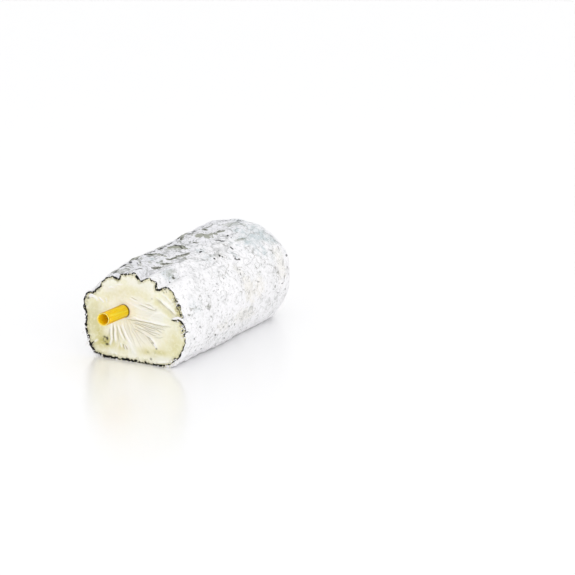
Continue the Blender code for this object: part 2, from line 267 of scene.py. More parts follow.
CLEAN_AT_CUT = 0.6  # how much fewer flecks there are beside the cut
CLEAN_REACH = 13.0  # mm
HIDDEN_PATCHES = 60
HIDDEN_SEED = 11
HIDDEN_ALONG = (3.0, 94.0)
HIDDEN_FROM = 108.0  # degrees
HIDDEN_SPAN = 60.0
HIDDEN_CROWDING = 1.6  # towards the top
HIDDEN_SHAPE = ((0.8, 3.2), (0.4, 1.3), (50, 150), (0.2, 0.7))  # as in the last four numbers

# Strokes of the knife on the cut: half width and height in mm, then points in mm across from the
# log's middle and up from its underside. Raised ones are white and chalky.
RAISED_STROKES = (
    (0.6, 0.5, ((13.3, 28.5), (16.6, 26), (19.1, 24.8), (20.8, 23.4))),
    (0.35, 0.3, ((10.8, 29.6), (13.4, 28.1), (16.1, 27.5), (18.1, 25.7), (20.2, 24.3))),
    (0.35, 0.3, ((13.5, 31.1), (16.1, 30.3), (18.7, 27.8), (20.5, 26.7))),
    (0.6, 0.45, ((-21.9, 25.2), (-20.3, 26), (-17.9, 25.4), (-16.9, 24.6))),
    (0.35, 0.4, ((-16.4, 26), (-14.4, 24.3))), (0.4, 0.3, ((-12, 30.3), (-10.6, 31), (-9, 31))),
    (0.4, 0.2, ((-9, 31.8), (-7.3, 32.3), (-4.6, 32.8))),
    (0.35, 0.3, ((-13.1, 25.9), (-12.8, 24.1))), (0.3, 0.3, ((-17.9, 24.5), (-17.3, 24.4))),
    (0.42, 0.6, ((-10.8, 15.6), (-11.1, 11), (-11, 8.4), (-11.9, 5.8))),
    (0.42, 0.55, ((-9.6, 15.4), (-9, 12.8), (-9.2, 10.3), (-9.1, 7.4))),
    (0.42, 0.5, ((-7.9, 15.4), (-7.1, 12.7), (-6, 10.6), (-4.9, 8.5))),
    (0.5, 0.5, ((-5.9, 16), (-5, 13.4), (-3.9, 11.2), (-2.2, 9), (-1, 7.2))),
    (0.7, 0.22, ((-2.6, 9.6), (-1.4, 6.8), (0.5, 3.4))), (0.25, 0.42, ((-6.8, 7.5), (-5.9, 5.4))),
    (0.25, 0.42, ((-5, 6.8), (-4.2, 5.1))), (0.25, 0.38, ((-3.6, 7.1), (-2.8, 5.5))),
    (0.4, 0.4, ((-1.9, 18.7), (0.6, 19.4), (2.2, 18.8), (6.5, 18.6), (11.7, 18.4), (16.8, 18.1))),
    (0.4, 0.2, ((6.3, 18.9), (9.5, 21.8), (13.2, 23.3), (15.4, 22), (17.6, 20.6))),
    (0.25, 0.25, ((2.6, 25.5), (5.9, 25.2), (8.8, 24.4), (11, 23.9))),
    (0.3, 0.2, ((-4, 25.8), (-0.2, 24.6), (3, 23.5), (8, 22.7))),
    (0.3, 0.2, ((-2, 27.2), (1.8, 26.2))),
    (0.35, 0.5, ((7.8, 12), (9.6, 10.6), (10.6, 9.2), (11.4, 7.9))),
    (0.3, 0.25, ((-12.3, 2.6), (-10.2, 2.4), (-8.1, 2.6))),
    (0.5, 0.35, ((7.4, 1.1), (11.3, 1.5), (16.2, 2.5), (18.4, 3.6))),
    (0.4, 0.3, ((1.6, 1.3), (3.9, 0.9))), (0.4, 0.35, ((-19.7, 6.2), (-18.5, 6.8), (-17.7, 7.6))),
    (0.35, 0.3, ((19.4, 21.9), (21.2, 22.1), (23.3, 21.4))),
    (0.35, 0.3, ((-23, 20.4), (-22.2, 21.8))),
)
SUNKEN_STROKES = (
    (0.25, 0.3, ((-3.4, 18), (0.5, 18.1), (5, 18), (9.4, 17.7), (13.9, 17.3), (17.9, 17.6))),
    (0.17, 0.28, ((-0.8, 16.9), (2.6, 16.5), (5.6, 15.6), (8.9, 15), (10.8, 14.8))),
    (0.17, 0.3, ((0.3, 17.4), (4.4, 16.8), (7.8, 16), (11.2, 15.4), (14.1, 14.4))),
    (0.17, 0.24, ((3, 17.6), (6.7, 16.9), (10, 16.2), (13, 16), (14.9, 15.7))),
    (0.17, 0.28, ((0.3, 15.6), (3.7, 14.8), (6.7, 13.9), (9.2, 13), (11.2, 12.7))),
    (0.17, 0.24, ((4.4, 15.4), (7.1, 14.5), (10.4, 13.9), (13, 13.4))),
    (0.17, 0.2, ((-0.6, 14.6), (2.6, 13.6), (5.4, 12.7))),
    (0.17, 0.16, ((9.2, 17.1), (12.2, 16.8), (15.4, 16.6))),
    (0.2, 0.36, ((5.6, 12.4), (8.2, 11.2), (9.6, 9.5), (10.6, 8.1))),
    (0.17, 0.26, ((6.2, 11.9), (7.6, 10.6), (8.9, 9.2), (9.5, 8.2))),
    (0.17, 0.18, ((9.8, 12), (12.4, 12.2), (14.2, 12.9))),
    (0.2, 0.25, ((2.6, 24.9), (5.9, 24.6), (8.8, 23.8), (11, 23.3))),
    (0.2, 0.2, ((5.5, 25.9), (8.1, 25.5), (9.9, 24.6))), (0.2, 0.2, ((-1.2, 27.7), (2, 26.8))),
    (0.3, 0.4, ((-10.2, 15.2), (-10.3, 11), (-10.3, 8.6), (-10.9, 6.6))),
    (0.36, 0.26, ((-8.4, 15), (-8.2, 12), (-8, 9.4), (-7.6, 7.6))),
    (0.28, 0.3, ((-7, 15), (-6.1, 12.4), (-4.9, 10.2), (-3.9, 8.6))),
    (0.26, 0.22, ((-4.9, 15), (-3.9, 12.4), (-2.4, 10), (-1, 8.4))),
    (0.2, 0.14, ((-3.2, 14.6), (-0.8, 10.6), (1.2, 6.4))),
    (0.2, 0.12, ((-2.2, 15), (1.2, 10.4), (3.6, 7))),
    (0.2, 0.12, ((-1.2, 15.2), (3, 10.8), (5.2, 8.6))), (0.3, 0.25, ((-11.8, 13), (-12.4, 9.6))),
    (0.3, 0.36, ((-5.6, 7.2), (-4.8, 5))), (0.28, 0.34, ((-4.2, 6.8), (-3.4, 5))),
    (0.3, 0.35, ((-22.4, 25.2), (-20.6, 25.5), (-17.7, 25.3))),
    (0.6, 0.3, ((11.2, 28.6), (14.9, 26.6), (17.6, 24.7), (19.6, 22.8))),
    (0.35, 0.4, ((-9.2, 34.4), (-7.6, 34), (-6.4, 34.7))),
)
LIP_RISE = 0.42  # mm, from a groove to the lip that it throws up
LIP_HEIGHT = 0.7  # as a share of the groove's depth
GROOVE_SHADE_STRENGTH = 2.3  # how dark a groove is painted for its depth in mm: painted shade in the groove
CHALK_STRENGTH = 3.0  # how white a raised stroke is for its height in mm
STROKE_FADE = 0.8  # at the ends of a stroke
STROKE_FADE_POWER = 4
STROKE_SEED = 71
STROKE_WOBBLE = 0.25  # mm
STROKE_WOBBLE_SIZE = 3.0 * MM

# Areas of the cut that differ in colour: middle and reach in mm, strength.
BUTTER_AREAS = (
    (-19, 15, 5.5, 10, 0.66), (-19, 23.5, 4, 3.5, 0.3), (-15, 7, 6, 3.6, 0.98),
    (-17, 11, 3, 4, 0.8), (6, 5.4, 4, 1.8, 0.7), (10, 3.8, 3, 1.2, 0.6),
    (12.5, 5.9, 4.5, 1.6, 0.75), (-6.6, 5.6, 3, 2, 0.5), (19.6, 9.8, 4.6, 7, 0.55),
    (16, 6.5, 6, 3.5, 0.4), (21, 24, 2.6, 3, 0.5), (17.6, 30.4, 3, 2.4, 0.35),
    (-10.6, 9.6, 1.4, 4, 0.5), (-7.4, 11, 3.4, 3.6, 0.4),
)
BUTTER_BANDS = (  # half width in mm, strength, points in mm
    (2.4, 0.27, ((-18.5, 24), (-10, 28.5), (-5.7, 29.8), (-0.7, 30.3), (6, 29.4), (12.6, 26.9))),
    (1.5, 0.5, ((10, 28.2), (14, 25.4), (17.3, 22.8), (19.9, 20))),
)
PALE_AREAS = (
    (14, 3.2, 6, 1.5, 0.8), (-9.6, 3.4, 4, 1, 0.5), (-4.8, 21.5, 4.4, 4.4, 0.6),
    (5, 34, 8, 2.4, 0.5), (-12, 31, 4, 2.4, 0.5),
)
PALE_BANDS = (
    (3.2, 1, ((-3, 26), (3, 24), (9.6, 21.6), (15.4, 19.8))),
    (1.4, 0.8, ((-4.6, 16.3), (-2.6, 11.6), (-1.2, 8), (0.8, 2.8))),
)
BEIGE_AREAS = (
    (5.5, 13, 6.5, 4.6, 1), (1.6, 16.6, 4, 1.4, 0.7), (12, 14.6, 4, 2.6, 0.5),
)
DARK_SPOTS = (
    (-14.4, 9, 0.7, 0.35, 0.85), (-13.2, 8.5, 0.5, 0.7, 1), (-15, 7.8, 0.3, 0.6, 0.6),
    (-14.2, 7, 0.6, 0.25, 0.6), (-13.4, 6, 0.75, 0.5, 1), (-14, 7.6, 1.7, 1.9, 0.13),
    (10.8, 7.5, 0.35, 0.35, 0.8), (8.1, 2.6, 0.3, 0.5, 0.8), (6.7, 5.4, 0.3, 0.3, 0.4),
    (8.7, 9.6, 0.25, 0.25, 0.4), (19.6, 20.7, 1.1, 0.25, 1), (-22, 24.8, 0.6, 0.35, 0.8),
    (-8.2, 35.2, 1.2, 0.4, 0.5), (22.6, 2.8, 0.5, 0.5, 0.6), (15.3, 33.3, 0.45, 0.35, 0.8),
    (14.7, 31.8, 0.3, 0.3, 0.5), (16, 32.2, 0.3, 0.35, 0.5), (10.9, 24, 0.3, 0.25, 0.3),
    (9.1, 28.5, 0.3, 0.3, 0.3),
)
# A peach tint beside the straw: painted warm light bounced from it.
STRAW_BOUNCE_LIGHT = (
    (-1.6, 20, 0.6, 2, 0.25), (-2.6, 18.2, 1.2, 0.5, 0.15),
)
SPOT_STRENGTH = 1.5
# The dark line where the straw enters the cut is partly a brown stain and partly painted shade of
# the crevice there.
STRAW_RING = 0.13  # mm, half width of the dark line where the straw enters the cut
STRAW_RING_GAP = 0.1  # mm, from the straw to that line
STRAW_RING_SIDE = (-0.35, 0.5)  # cosines of the turn from +X, where the line fades in
COMBED_START = (3.0, 7.0)  # mm from the straw's axis, where the drawn-out fan fades in
COMBED_END = (14.0, 21.0)  # mm, where it fades out
COMBED_HEADING = -0.75  # radians from +X
COMBED_EDGE = (0.25, 0.6)  # cosines of the turn from its heading
COMBED_LEAST = 0.06  # elsewhere
STREAK_LENGTH = 11.1 * MM  # of the streaks in that fan, out from the straw
STREAKS_ROUND = 94.25  # how many of them would fit side by side round the straw
ROUGH_EDGE_FROM = -8.0  # degrees round the log, where the cut's edge is crumbled
ROUGH_EDGE_TO = 34.0
ROUGH_EDGE_FADE = 6.0  # degrees
ROUGH_EDGE_REACH = 2.2  # mm in from the rim

# The cut's small relief, with heights in mm. Towards the rim it fades to nothing.
CURD_GRAIN = ((1.1 * MM, 73, 0.06), (0.6 * MM, 74, 0.03))
CRUMBLED_GRAIN = ((0.9 * MM, 75, 0.7),)
EDGE_GRAIN = ((0.8 * MM, 76, 0.5),)
EDGE_GRAIN_PLACE = 0.5  # mm in from the rim
EDGE_GRAIN_REACH = 0.7
EDGE_GROOVE_PLACE = 0.4
EDGE_GROOVE_REACH = 0.3
EDGE_GROOVE_DEPTH = 0.12
EDGE_HOLD = 0.3
CUT_HOLD_POWER = 6

# Round the cut: place and reach in degrees, then mm. The mould's thickness outside the ash line,
# and how much wider that line gets.
MOULD_THICKNESS = 0.05
THICK_MOULD = (
    (186, 24, 0.1), (152, 5, 0.4), (223, 7, 0.45), (319, 8, 1), (11, 6, 0.4), (60, 6, 0.3),
)
ASH_LINE_WIDTH = 0.6
WIDE_ASH_LINE = (
    (236, 14, 0.5), (258, 12, 0.3), (284, 14, 0.35), (306, 8, 0.3), (326, 7, 0.4), (30, 4, 0.35),
    (13, 2.5, 0.6), (3, 3, 0.3), (113, 5, 0.4), (180, 22, 0.4), (206, 10, 0.4), (88, 8, 0.25),
    (46, 3, 0.3), (150, 8, 0.3), (79, 5, 0.35), (53, 4, 0.55),
)
FOOT_SHADE = ((236.0, 18.0, 1.0),)  # place, reach and strength of the painted shade on the mould at the cut's foot

# The straw's grid and ribs.
STRAW_SIDES = 128
STRAW_RIBS = 26
STRAW_RIB_HEIGHT = 0.035 * MM
STRAW_RIB_WANDER = 6.0  # radians
STRAW_UNEVEN = 0.05 * MM
STRAW_UNEVEN_PACE = 0.7
STRAW_SEED = 3
STRAW_NOISE_ROUND = 2.0  # noise sizes in the straw's radius
STRAW_NOISE_SIZE = 9.0 * MM  # along the straw
STRAW_SLANT = 0.35 * MM  # of the near mouth, its turn in radians, and how soon it fades
STRAW_SLANT_TURN = 0.6
STRAW_SLANT_FADE = 1.5 * MM
STRAW_INSIDE = (0.1 * MM, 1.0 * MM)  # from the mouth, where the inside's amber fades in
STRAW_ROWS = 60
STRAW_STAIN_ROWS = 12
# The straw's dark band where it enters the cut, partly brown stain and partly painted shade of the
# crevice.
STRAW_STAIN_SPAN = (-0.25, 1.0)  # mm out from the cut, for the rows of the stain
STRAW_STAIN_PLACE = 0.25 * MM
STRAW_STAIN_WIDTH = 0.36 * MM
STRAW_STAIN_TURN = 0.4  # radians, its darkest side
STRAW_STAIN_EDGE = (-0.5, 0.2)  # cosines of the turn from that side
STRAW_STAIN_LEAST = 0.15  # on the other side
STRAW_EDGE_SHADES = ((106.0, 20.0, 0.6), (315.0, 18.0, 0.45))  # painted shade along the straw's top and bottom edges: degrees, half width, strength
STRAW_COLLAR = (0.35, 0.5, 0.65, 0.9)  # mm from the end, rows of the brown line round the mouth
STRAW_COLLAR_PLACE = 0.45 * MM
STRAW_COLLAR_WIDTH = 0.18 * MM
STRAW_COLLAR_STRENGTH = 0.6
STRAW_PALE_REACH = 0.2 * MM  # of the pale edge of the mouth
# Size across and along, and detail, of its fibres and broad bands. The fibres are finer in
# life, and are drawn as coarse as they need to show.
STRAW_FIBRES = (
    (0.3846 * MM, 9.09 * MM, 3), (1.429 * MM, 16.7 * MM, 2),
)
STRAW_MOUTH = (0.0, 0.03, 0.1, 0.2)  # mm from the end, rounded rows of the mouth

# Loose shreds at the edge of the cut: half width and half thickness in mm, height over the cut in
# mm, darkness, then points in mm across from the log's middle and up from its underside.
SHREDS = (
    (0.55, 0.22, 0.5, 0, ((18.9, 21.4), (20.4, 21.8), (21.8, 22.3), (23.6, 21.6), (24.9, 20.5))),
    (0.2, 0.2, 0.4, 1, ((18.5, 20.8), (19.8, 20.7), (20.8, 20.9))),
    (0.25, 0.2, 0.4, 1, ((21.3, 21.5), (22.6, 20.9), (23.8, 20.2), (24.7, 19))),
    (0.22, 0.2, 0.6, 0.9, ((21.4, 25.9), (21.2, 26.9), (22, 27.9), (23, 27.5), (22.8, 26.5))),
    (0.2, 0.2, 0.5, 0.6, ((22.2, 26.6), (22.6, 25.6), (23.4, 24.6))),
    (0.3, 0.2, 0.4, 0, ((20.6, 28.4), (21.6, 28.2), (22.2, 29))),
    (0.22, 0.2, 0.3, 1, ((25, 16.4), (25.8, 16.8), (26.3, 17))),
    (0.3, 0.25, 0.8, 1, ((-19.4, 6.4), (-20.4, 5.6), (-20.9, 4.4), (-20, 3.2), (-18.8, 2.6))),
    (0.3, 0.25, 0.8, 0, ((-21.6, 6.8), (-22.6, 6), (-22.9, 5), (-22, 4.2))),
    (0.35, 0.2, 0.3, 0, ((-24.6, 10.2), (-25.2, 9))),
    (0.4, 0.22, 0.3, 0, ((-21.6, 25.9), (-20.2, 26.5), (-18.4, 26))),
    (0.3, 0.2, 0.4, 0, ((-16.6, 25.9), (-15, 24.9), (-14.2, 23.9))),
    (0.3, 0.2, 0.3, 0.45, ((10, 6.4), (10.2, 5))), (0.25, 0.2, 0.3, 0, ((9.6, 9.4), (10.9, 7.8))),
)
SHRED_UNEVEN = ((0.8 * MM, 23, 0.15 * MM),)
SHRED_ROWS = 14
SHRED_SIDES = 10
CRUMB_ROWS = 4
CRUMB_SIDES = 7
# Crumbs at the edge of the cut: how many, from and to in degrees, least and most distance in from
# the rind in mm, largest half length in mm, share of black ones, share of black or yellow ones.
CRUMB_GROUPS = (
    (90, ROUGH_EDGE_FROM, ROUGH_EDGE_TO, -0.1, 1.8, 0.42, 0.15, 0.6),
    (60, 168, 236, -0.2, 0.5, 0.45, 0.4, 0.5), (40, 306, 330, -0.1, 1.6, 0.4, 0.15, 0.5),
    (70, 236, 306, -0.1, 0.8, 0.4, 0.45, 0.7), (50, 34, 168, 0, 0.7, 0.28, 0.3, 0.6),
)
CRUMB_SEED = 23
SMALLEST_CRUMB = 0.12  # mm, half length
CRUMB_WIDTH = 0.9  # shares of the half length
CRUMB_THICKNESS = 0.7
CRUMB_UNEVEN = 0.2
BUTTERY_CRUMB = 0.45  # darkness of a yellow crumb
CRUMB_GRAIN = 0.6667 * MM  # finer in life, and as coarse as it needs to show
OFF_TABLE = 0.05 * MM  # least height of shreds and crumbs

# The studio, in metres. The camera aims to the right of the cut's foot and above it.
TABLE_HALF = 4.0
SOFTBOX_WIDTH = 0.9
SOFTBOX_HEIGHT = 0.7
SOFTBOX_PLACE = (0.9, -0.6, 0.28)
CAMERA_SENSOR = 36.0  # mm
CAMERA_LENS = 128.6  # mm
CAMERA_CLIP = 20.0
AIM_RIGHT = 0.0633
AIM_UP = 0.03095


def linear(code):
    """The linear colour, with alpha 1, of an sRGB hex code."""
    parts = [int(code[i : i + 2], 16) / 255 for i in (1, 3, 5)]
    spread = [part / 12.92 if part <= 0.04045 else ((part + 0.055) / 1.055) ** 2.4 for part in parts]
    return (*spread, 1.0)


def add(tree, kind, inputs=None, **settings):
    """A shader node with its settings. An input gets a value, an output or a node's first output."""
    node = tree.nodes.new("ShaderNode" + kind)
    for name, value in settings.items():
        setattr(node, name, value)
    for socket, value in (inputs or {}).items():
        if isinstance(value, bpy.types.Node):
            value = value.outputs[0]
        if isinstance(value, bpy.types.NodeSocket):
            tree.links.new(value, node.inputs[socket])
        else:
            node.inputs[socket].default_value = value
    return node


def new_material(name):
    """An empty material, and the function that adds a node to it."""
    material = bpy.data.materials.new(name)
    material.use_nodes = True
    material.node_tree.nodes.clear()
    return material, partial(add, material.node_tree)


def finish_material(node, paint, layers, relief, shader):
    """Lays colours over the paint, raises the relief, and gives both to the surface's shader.

    A layer is an amount and a colour. The relief is a noise, its strength and its height.
    """
    for amount, colour in layers:
        if isinstance(colour, str):
            colour = linear(colour)
        paint = node("Mix", {0: amount, 6: paint, 7: colour}, data_type="RGBA").outputs[2]
    noise, strength, height = relief
    bump = node("Bump", {"Strength": strength, "Distance": height, "Height": noise})
    surface = node("BsdfPrincipled", {"Base Color": paint, "Normal": bump, **shader})
    node("OutputMaterial", {"Surface": surface})


def corner_slopes(cells, seed):
    """A repeatable slope for each cell, each part from -1 to 1: whole numbers mixed by primes."""
    mixed = cells[..., 0] * 73856093 ^ cells[..., 1] * 19349663 ^ cells[..., 2] * 83492791
    mixed = (mixed ^ seed * 2654435761) & 0xFFFFFFFF
    mixed = (mixed ^ mixed >> 15) * 2246822519 & 0xFFFFFFFF
    mixed = (mixed ^ mixed >> 13) * 3266489917 & 0xFFFFFFFF
    return np.stack([(mixed >> shift & 1023) / 511.5 - 1 for shift in (2, 12, 22)], axis=-1)


def smooth_noise(points, seed):
    """Gradient noise, about -0.7 to 0.7: slopes at the eight corners, blended by a smooth fade."""
    base = np.floor(points).astype(np.int64)
    part = points - base
    fade = part**3 * (part * (part * 6 - 15) + 10)
    total = np.zeros(points.shape[:-1])
    for corner in np.ndindex(2, 2, 2):
        offset = np.array(corner)
        weight = np.prod(np.where(offset, fade, 1 - fade), axis=-1)
        total += weight * (corner_slopes(base + offset, seed) * (part - offset)).sum(axis=-1)
    return total


def noise_sum(points, layers):
    """Sum of smooth noises, each with a size, a seed and a height."""
    return sum(smooth_noise(points / size, seed) * height for size, seed, height in layers)


def bell(distance, width):
    """A bell curve: 1 at no distance, and 1/e at the width."""
    return np.exp(-((distance / width) ** 2))


def smooth_step(value, low, high):
    """0 below low and 1 above high, with a smooth rise between them."""
    share = np.clip((value - low) / (high - low), 0, 1)
    return share * share * (3 - 2 * share)


def turn_between(degrees, place):
    """Signed difference of two angles, from -180 to 180 degrees."""
    return (degrees - place + 180) % 360 - 180


def bell_sum(degrees, bells):
    """Sum of bells round the log, each with a place and a reach in degrees, and a height."""
    return sum(height * bell(turn_between(degrees, place), reach) for place, reach, height in bells)


def fold_relief(degrees, y):
    """The cut's folds as bell curves round the section, fading as bell curves along the log."""
    return sum(
        height * bell(turn_between(degrees, place), width) * bell(y - CUT_Y, reach)
        for place, width, height, reach in FOLDS
    )


def wrinkle_noise(points):
    """The noise whose zero lines are the hollows of the wrinkles."""
    grain = np.array([WRINKLE_ACROSS, WRINKLE_ALONG, WRINKLE_ACROSS])
    return smooth_noise(points / grain, WRINKLE_SEED)


def rind_relief(points, degrees):
    """Height of the rind over the plain section, as in the solid: dents, wrinkles and folds."""
    dents = smooth_noise(points / DENT_SIZE, DENT_SEED) * DENT_HEIGHT
    creased = np.hypot(wrinkle_noise(points), WRINKLE_ROUNDNESS)
    topness = np.clip(np.sin(np.radians(degrees)), 0, 1)
    share = WRINKLE_SIDE_SHARE + (1 - WRINKLE_SIDE_SHARE) * topness
    wrinkles = (creased - WRINKLE_MEAN) * share * WRINKLE_HEIGHT
    away_from_cut = 1 - bell(points[..., 1] - CUT_Y, CALM_NEAR_CUT)
    return (dents + wrinkles) * away_from_cut + fold_relief(degrees, points[..., 1])


def section_reach(degrees, y):
    """Distance from the section's centre to a superellipse, and the height of that centre."""
    share = (y - CUT_Y) / LOG_LENGTH
    half_width = CUT_HALF_WIDTH + (END_HALF_WIDTH - CUT_HALF_WIDTH) * share
    height = CUT_HEIGHT + (END_HEIGHT - CUT_HEIGHT) * share
    centre_z = CENTRE_SHARE * height
    sideways = np.cos(np.radians(degrees))
    upwards = np.sin(np.radians(degrees))
    half_height = np.where(upwards > 0, height - centre_z, centre_z + SAG)
    total = np.abs(sideways / half_width) ** SECTION_POWER
    total = total + np.abs(upwards / half_height) ** SECTION_POWER
    return total ** (-1 / SECTION_POWER), centre_z


def rest_on_floor(height):
    """The height, eased by a parabola into a flat zero over the blend."""
    eased = (height + FLOOR_BLEND) ** 2 / (4 * FLOOR_BLEND)
    return np.where(np.abs(height) < FLOOR_BLEND, eased, np.maximum(height, 0))


def straw_line(y):
    """X and Z of the straw's axis."""
    return STRAW_X, STRAW_Z - (y - CUT_Y) * math.tan(STRAW_TILT)


def bore_ring(degrees, y):
    """A ring round the straw's axis, wider than the straw by the gap."""
    x, z = straw_line(y)
    radius = STRAW_RADIUS + BORE_GAP
    turn = np.radians(degrees)
    ring = [x + radius * np.cos(turn), np.full_like(turn, y), z + radius * np.sin(turn)]
    return np.stack(ring, axis=-1)


def side_angles():
    """Angles round the section in degrees, crowded towards the top by a cosine."""
    turn = np.linspace(0, 2 * math.pi, SIDES, endpoint=False)
    return np.degrees(turn + TOP_CROWDING * np.cos(turn))


def mark_field(where, warp, marks):
    """How far inside the nearest mark each point is, and that mark's strength.

    A mark is a turned ellipse in mm, and its edge is moved by the warp. Where is the way along the
    rind in mm, degrees round it, and how wide the log is there as a share of its body.
    """
    along, degrees, spread = where
    field = np.zeros(along.shape)
    tone = np.zeros(along.shape)
    for place, angle, half_length, half_width, turn, strength in marks:
        lengthways = along - place
        roundways = turn_between(angle, degrees) * MM_PER_DEGREE * spread
        cosine = math.cos(math.radians(turn))
        sine = math.sin(math.radians(turn))
        first = (lengthways * cosine + roundways * sine) / half_length
        second = (roundways * cosine - lengthways * sine) / half_width
        inside = 1 - smooth_step(np.hypot(first, second) + warp, *MARK_EDGE)
        tone = np.where(inside > field, strength, tone)
        field = np.maximum(field, inside)
    return field, tone


def hidden_patches():
    """More bare patches, placed by seeded chance, for the far shoulder."""
    chance = np.random.default_rng(HIDDEN_SEED)
    return tuple(
        (
            chance.uniform(*HIDDEN_ALONG),
            HIDDEN_FROM + HIDDEN_SPAN * chance.uniform() ** HIDDEN_CROWDING,
            *(chance.uniform(least, most) for least, most in HIDDEN_SHAPE),
        )
        for _ in range(HIDDEN_PATCHES)
    )


def rind_fields(points, where):
    """What covers the rind at each point, from 0 to 1, and the noises of its relief.

    Grey is the thin mould of the top, partly real and partly painted shade of the top and shoulders,
    ash its bare patches, lip the painted shade that the mould casts on their far edge, soot the
    darkest marks, broken where the hollows of the worms and wrinkles are lined with ash and painted
    shade, crowd the share of flecks, and blue and warm faint tints. A tone is the strength of the
    nearest mark.
    """
    along, degrees, spread = where
    warp = noise_sum(points, MARK_WARP)
    off_middle = np.abs(turn_between(degrees, GREY_MIDDLE)) + noise_sum(points, GREY_WANDER)
    grey = 1 - smooth_step(off_middle + (1 - spread) * GREY_END_SHRINK, *GREY_EDGE)
    grey = grey * (GREY_PLAIN + bell_sum(degrees, SHADE_SHOULDER))
    near_side = smooth_step(turn_between(GREY_MIDDLE, degrees), *GREY_NEAR_EDGE)
    grey = grey * (1 - GREY_CLEAN_CUT * bell(along, GREY_CLEAN_REACH) * near_side)
    # Painted shade on the right shoulder, laid over the grey.
    thin = bell_sum(degrees, SHADE_SIDE) * (1 - bell(along, SHADE_SIDE_START))
    patches = ASH_PATCHES + hidden_patches()
    ash, ash_tone = mark_field(where, warp, patches)
    # The patches moved a little further on: the difference is the painted shade that the mould casts
    # on their far edge.
    beyond, _ = mark_field((along + SHADE_LIP_ALONG, degrees + SHADE_LIP_ROUND, spread), warp, patches)
    soot, soot_tone = mark_field(where, warp * SOOT_WARP_SHARE, SOOT_MARKS)
    tinted = {}
    for name, marks in (("crowd", CROWDS), ("blue", BLUE_TINTS), ("warm", WARM_TINTS)):
        field, tone = mark_field(where, warp, marks)
        tinted[name] = field * tone
    tinted["crowd"] = tinted["crowd"] - CLEAN_AT_CUT * bell(along, CLEAN_REACH)
    broken = smooth_step(noise_sum(points, BROKEN_NOISE), *BROKEN_EDGE)
    return {
        "grey": np.maximum(grey, thin),
        "ash": ash,
        "ash_tone": ash_tone,
        "lip": np.clip(ash - beyond, 0, 1) * ash_tone,
        "soot": soot,
        "soot_tone": soot_tone,
        "worm": smooth_noise(points / WORM_SIZE, WORM_SEED),
        "wrinkle": wrinkle_noise(points),
        "broken": broken * (1 - WHOLE_AT_CUT * bell(along, WHOLE_REACH)),
        **tinted,
    }


def skin_relief(points, degrees, fields, settings):
    """The fine skin: worms as rounded absolute noise, cotton as small noise, and sunken ash.

    Towards the cut the rind also crinkles, as noise and small folds that fade along the log as
    bells. Where it meets the table it is creased, as noise that fades round the log as bells.
    """
    creased = np.hypot(fields["worm"], WORM_ROUNDNESS)
    worm_share = WORM_SIDE_SHARE + (1 - WORM_SIDE_SHARE) * fields["grey"]
    worms = (creased - WORM_MEAN) * worm_share * settings.worm_height
    cotton = noise_sum(points, COTTON)
    from_cut = points[..., 1] - CUT_Y
    crinkles = noise_sum(points, CRINKLES) * bell(from_cut, CRINKLE_REACH)
    folds = bell_sum(degrees, SMALL_FOLDS) * bell(from_cut, SMALL_FOLD_REACH)
    foot = bell(np.abs(turn_between(degrees, STRAIGHT_DOWN)) - FOOT_PLACE, FOOT_REACH)
    creases = noise_sum(points, FOOT_CREASES) * foot
    sunken = smooth_step(fields["ash"], *SUNKEN_EDGE) * fields["ash_tone"]
    return worms + cotton + crinkles + folds + creases - sunken * settings.ash_depth


def outer_rows():
    """Place along Y and size of each row: straight, then a quarter of a superellipse."""
    straight = np.linspace(CUT_Y, END_Y - END_ROUNDING, BODY_ROWS)
    straight = np.insert(straight, 1, CUT_Y + FIRST_RIND_ROW)
    turn = np.linspace(0, math.pi / 2, ROUNDING_ROWS + 1)[1:]
    curve_y = END_Y - END_ROUNDING + END_ROUNDING * np.sin(turn) ** (2 / END_POWER)
    shrink = np.cos(turn).clip(0) ** (2 / END_POWER)
    curve_size = END_MIDDLE_SHARE + (1 - END_MIDDLE_SHARE) * shrink
    return np.append(straight, curve_y), np.append(np.ones(len(straight)), curve_size)


def rind_rows(degrees, settings):
    """The rind from the cut to the bore's far mouth, as rows of points, and its fields.

    Rows shrink about the section's centre through the rounding, and then run straight in to the
    bore. Relief goes outwards on the body, turns to +Y through the rounding, and ends at the bore.
    """
    y, size = outer_rows()
    run = np.append(0, np.cumsum(np.hypot(np.diff(y), np.diff(size) * BODY_RADIUS)))
    y = y[:, None]
    size = size[:, None]
    reach, centre_z = section_reach(degrees, y)
    reach = reach * size
    turn = np.radians(degrees)
    sideways = np.cos(turn)
    upwards = np.sin(turn)
    body = np.stack(
        [reach * sideways, np.broadcast_to(y, reach.shape), centre_z + reach * upwards], axis=-1
    )
    ring = bore_ring(degrees, END_Y - END_DIMPLE)
    inward = np.linspace(0, 1, MIDDLE_ROWS + 1)[1:]
    rows = np.concatenate([body, body[-1] + (ring - body[-1]) * inward[:, None, None]])
    turned = np.clip((1 - size) / (1 - END_MIDDLE_SHARE), 0, 1)
    turned = np.append(turned, np.ones(MIDDLE_ROWS))[:, None]
    hold = np.append(np.ones(len(body)), 1 - inward)[:, None]
    bore_share = (STRAW_RADIUS + BORE_GAP) / BODY_RADIUS
    spread = np.append(size, END_MIDDLE_SHARE + (bore_share - END_MIDDLE_SHARE) * inward)
    run = np.append(run, run[-1] + (END_MIDDLE_SHARE - bore_share) * BODY_RADIUS * inward)
    fields = rind_fields(rows, (run[:, None] / MM + 0 * degrees, degrees, spread[:, None]))
    relief = (rind_relief(rows, degrees) + skin_relief(rows, degrees, fields, settings)) * hold
    rows[..., 0] += relief * (1 - turned) * sideways
    rows[..., 1] += relief * turned
    rows[..., 2] = rest_on_floor(rows[..., 2] + relief * (1 - turned) * upwards)
    return rows, fields


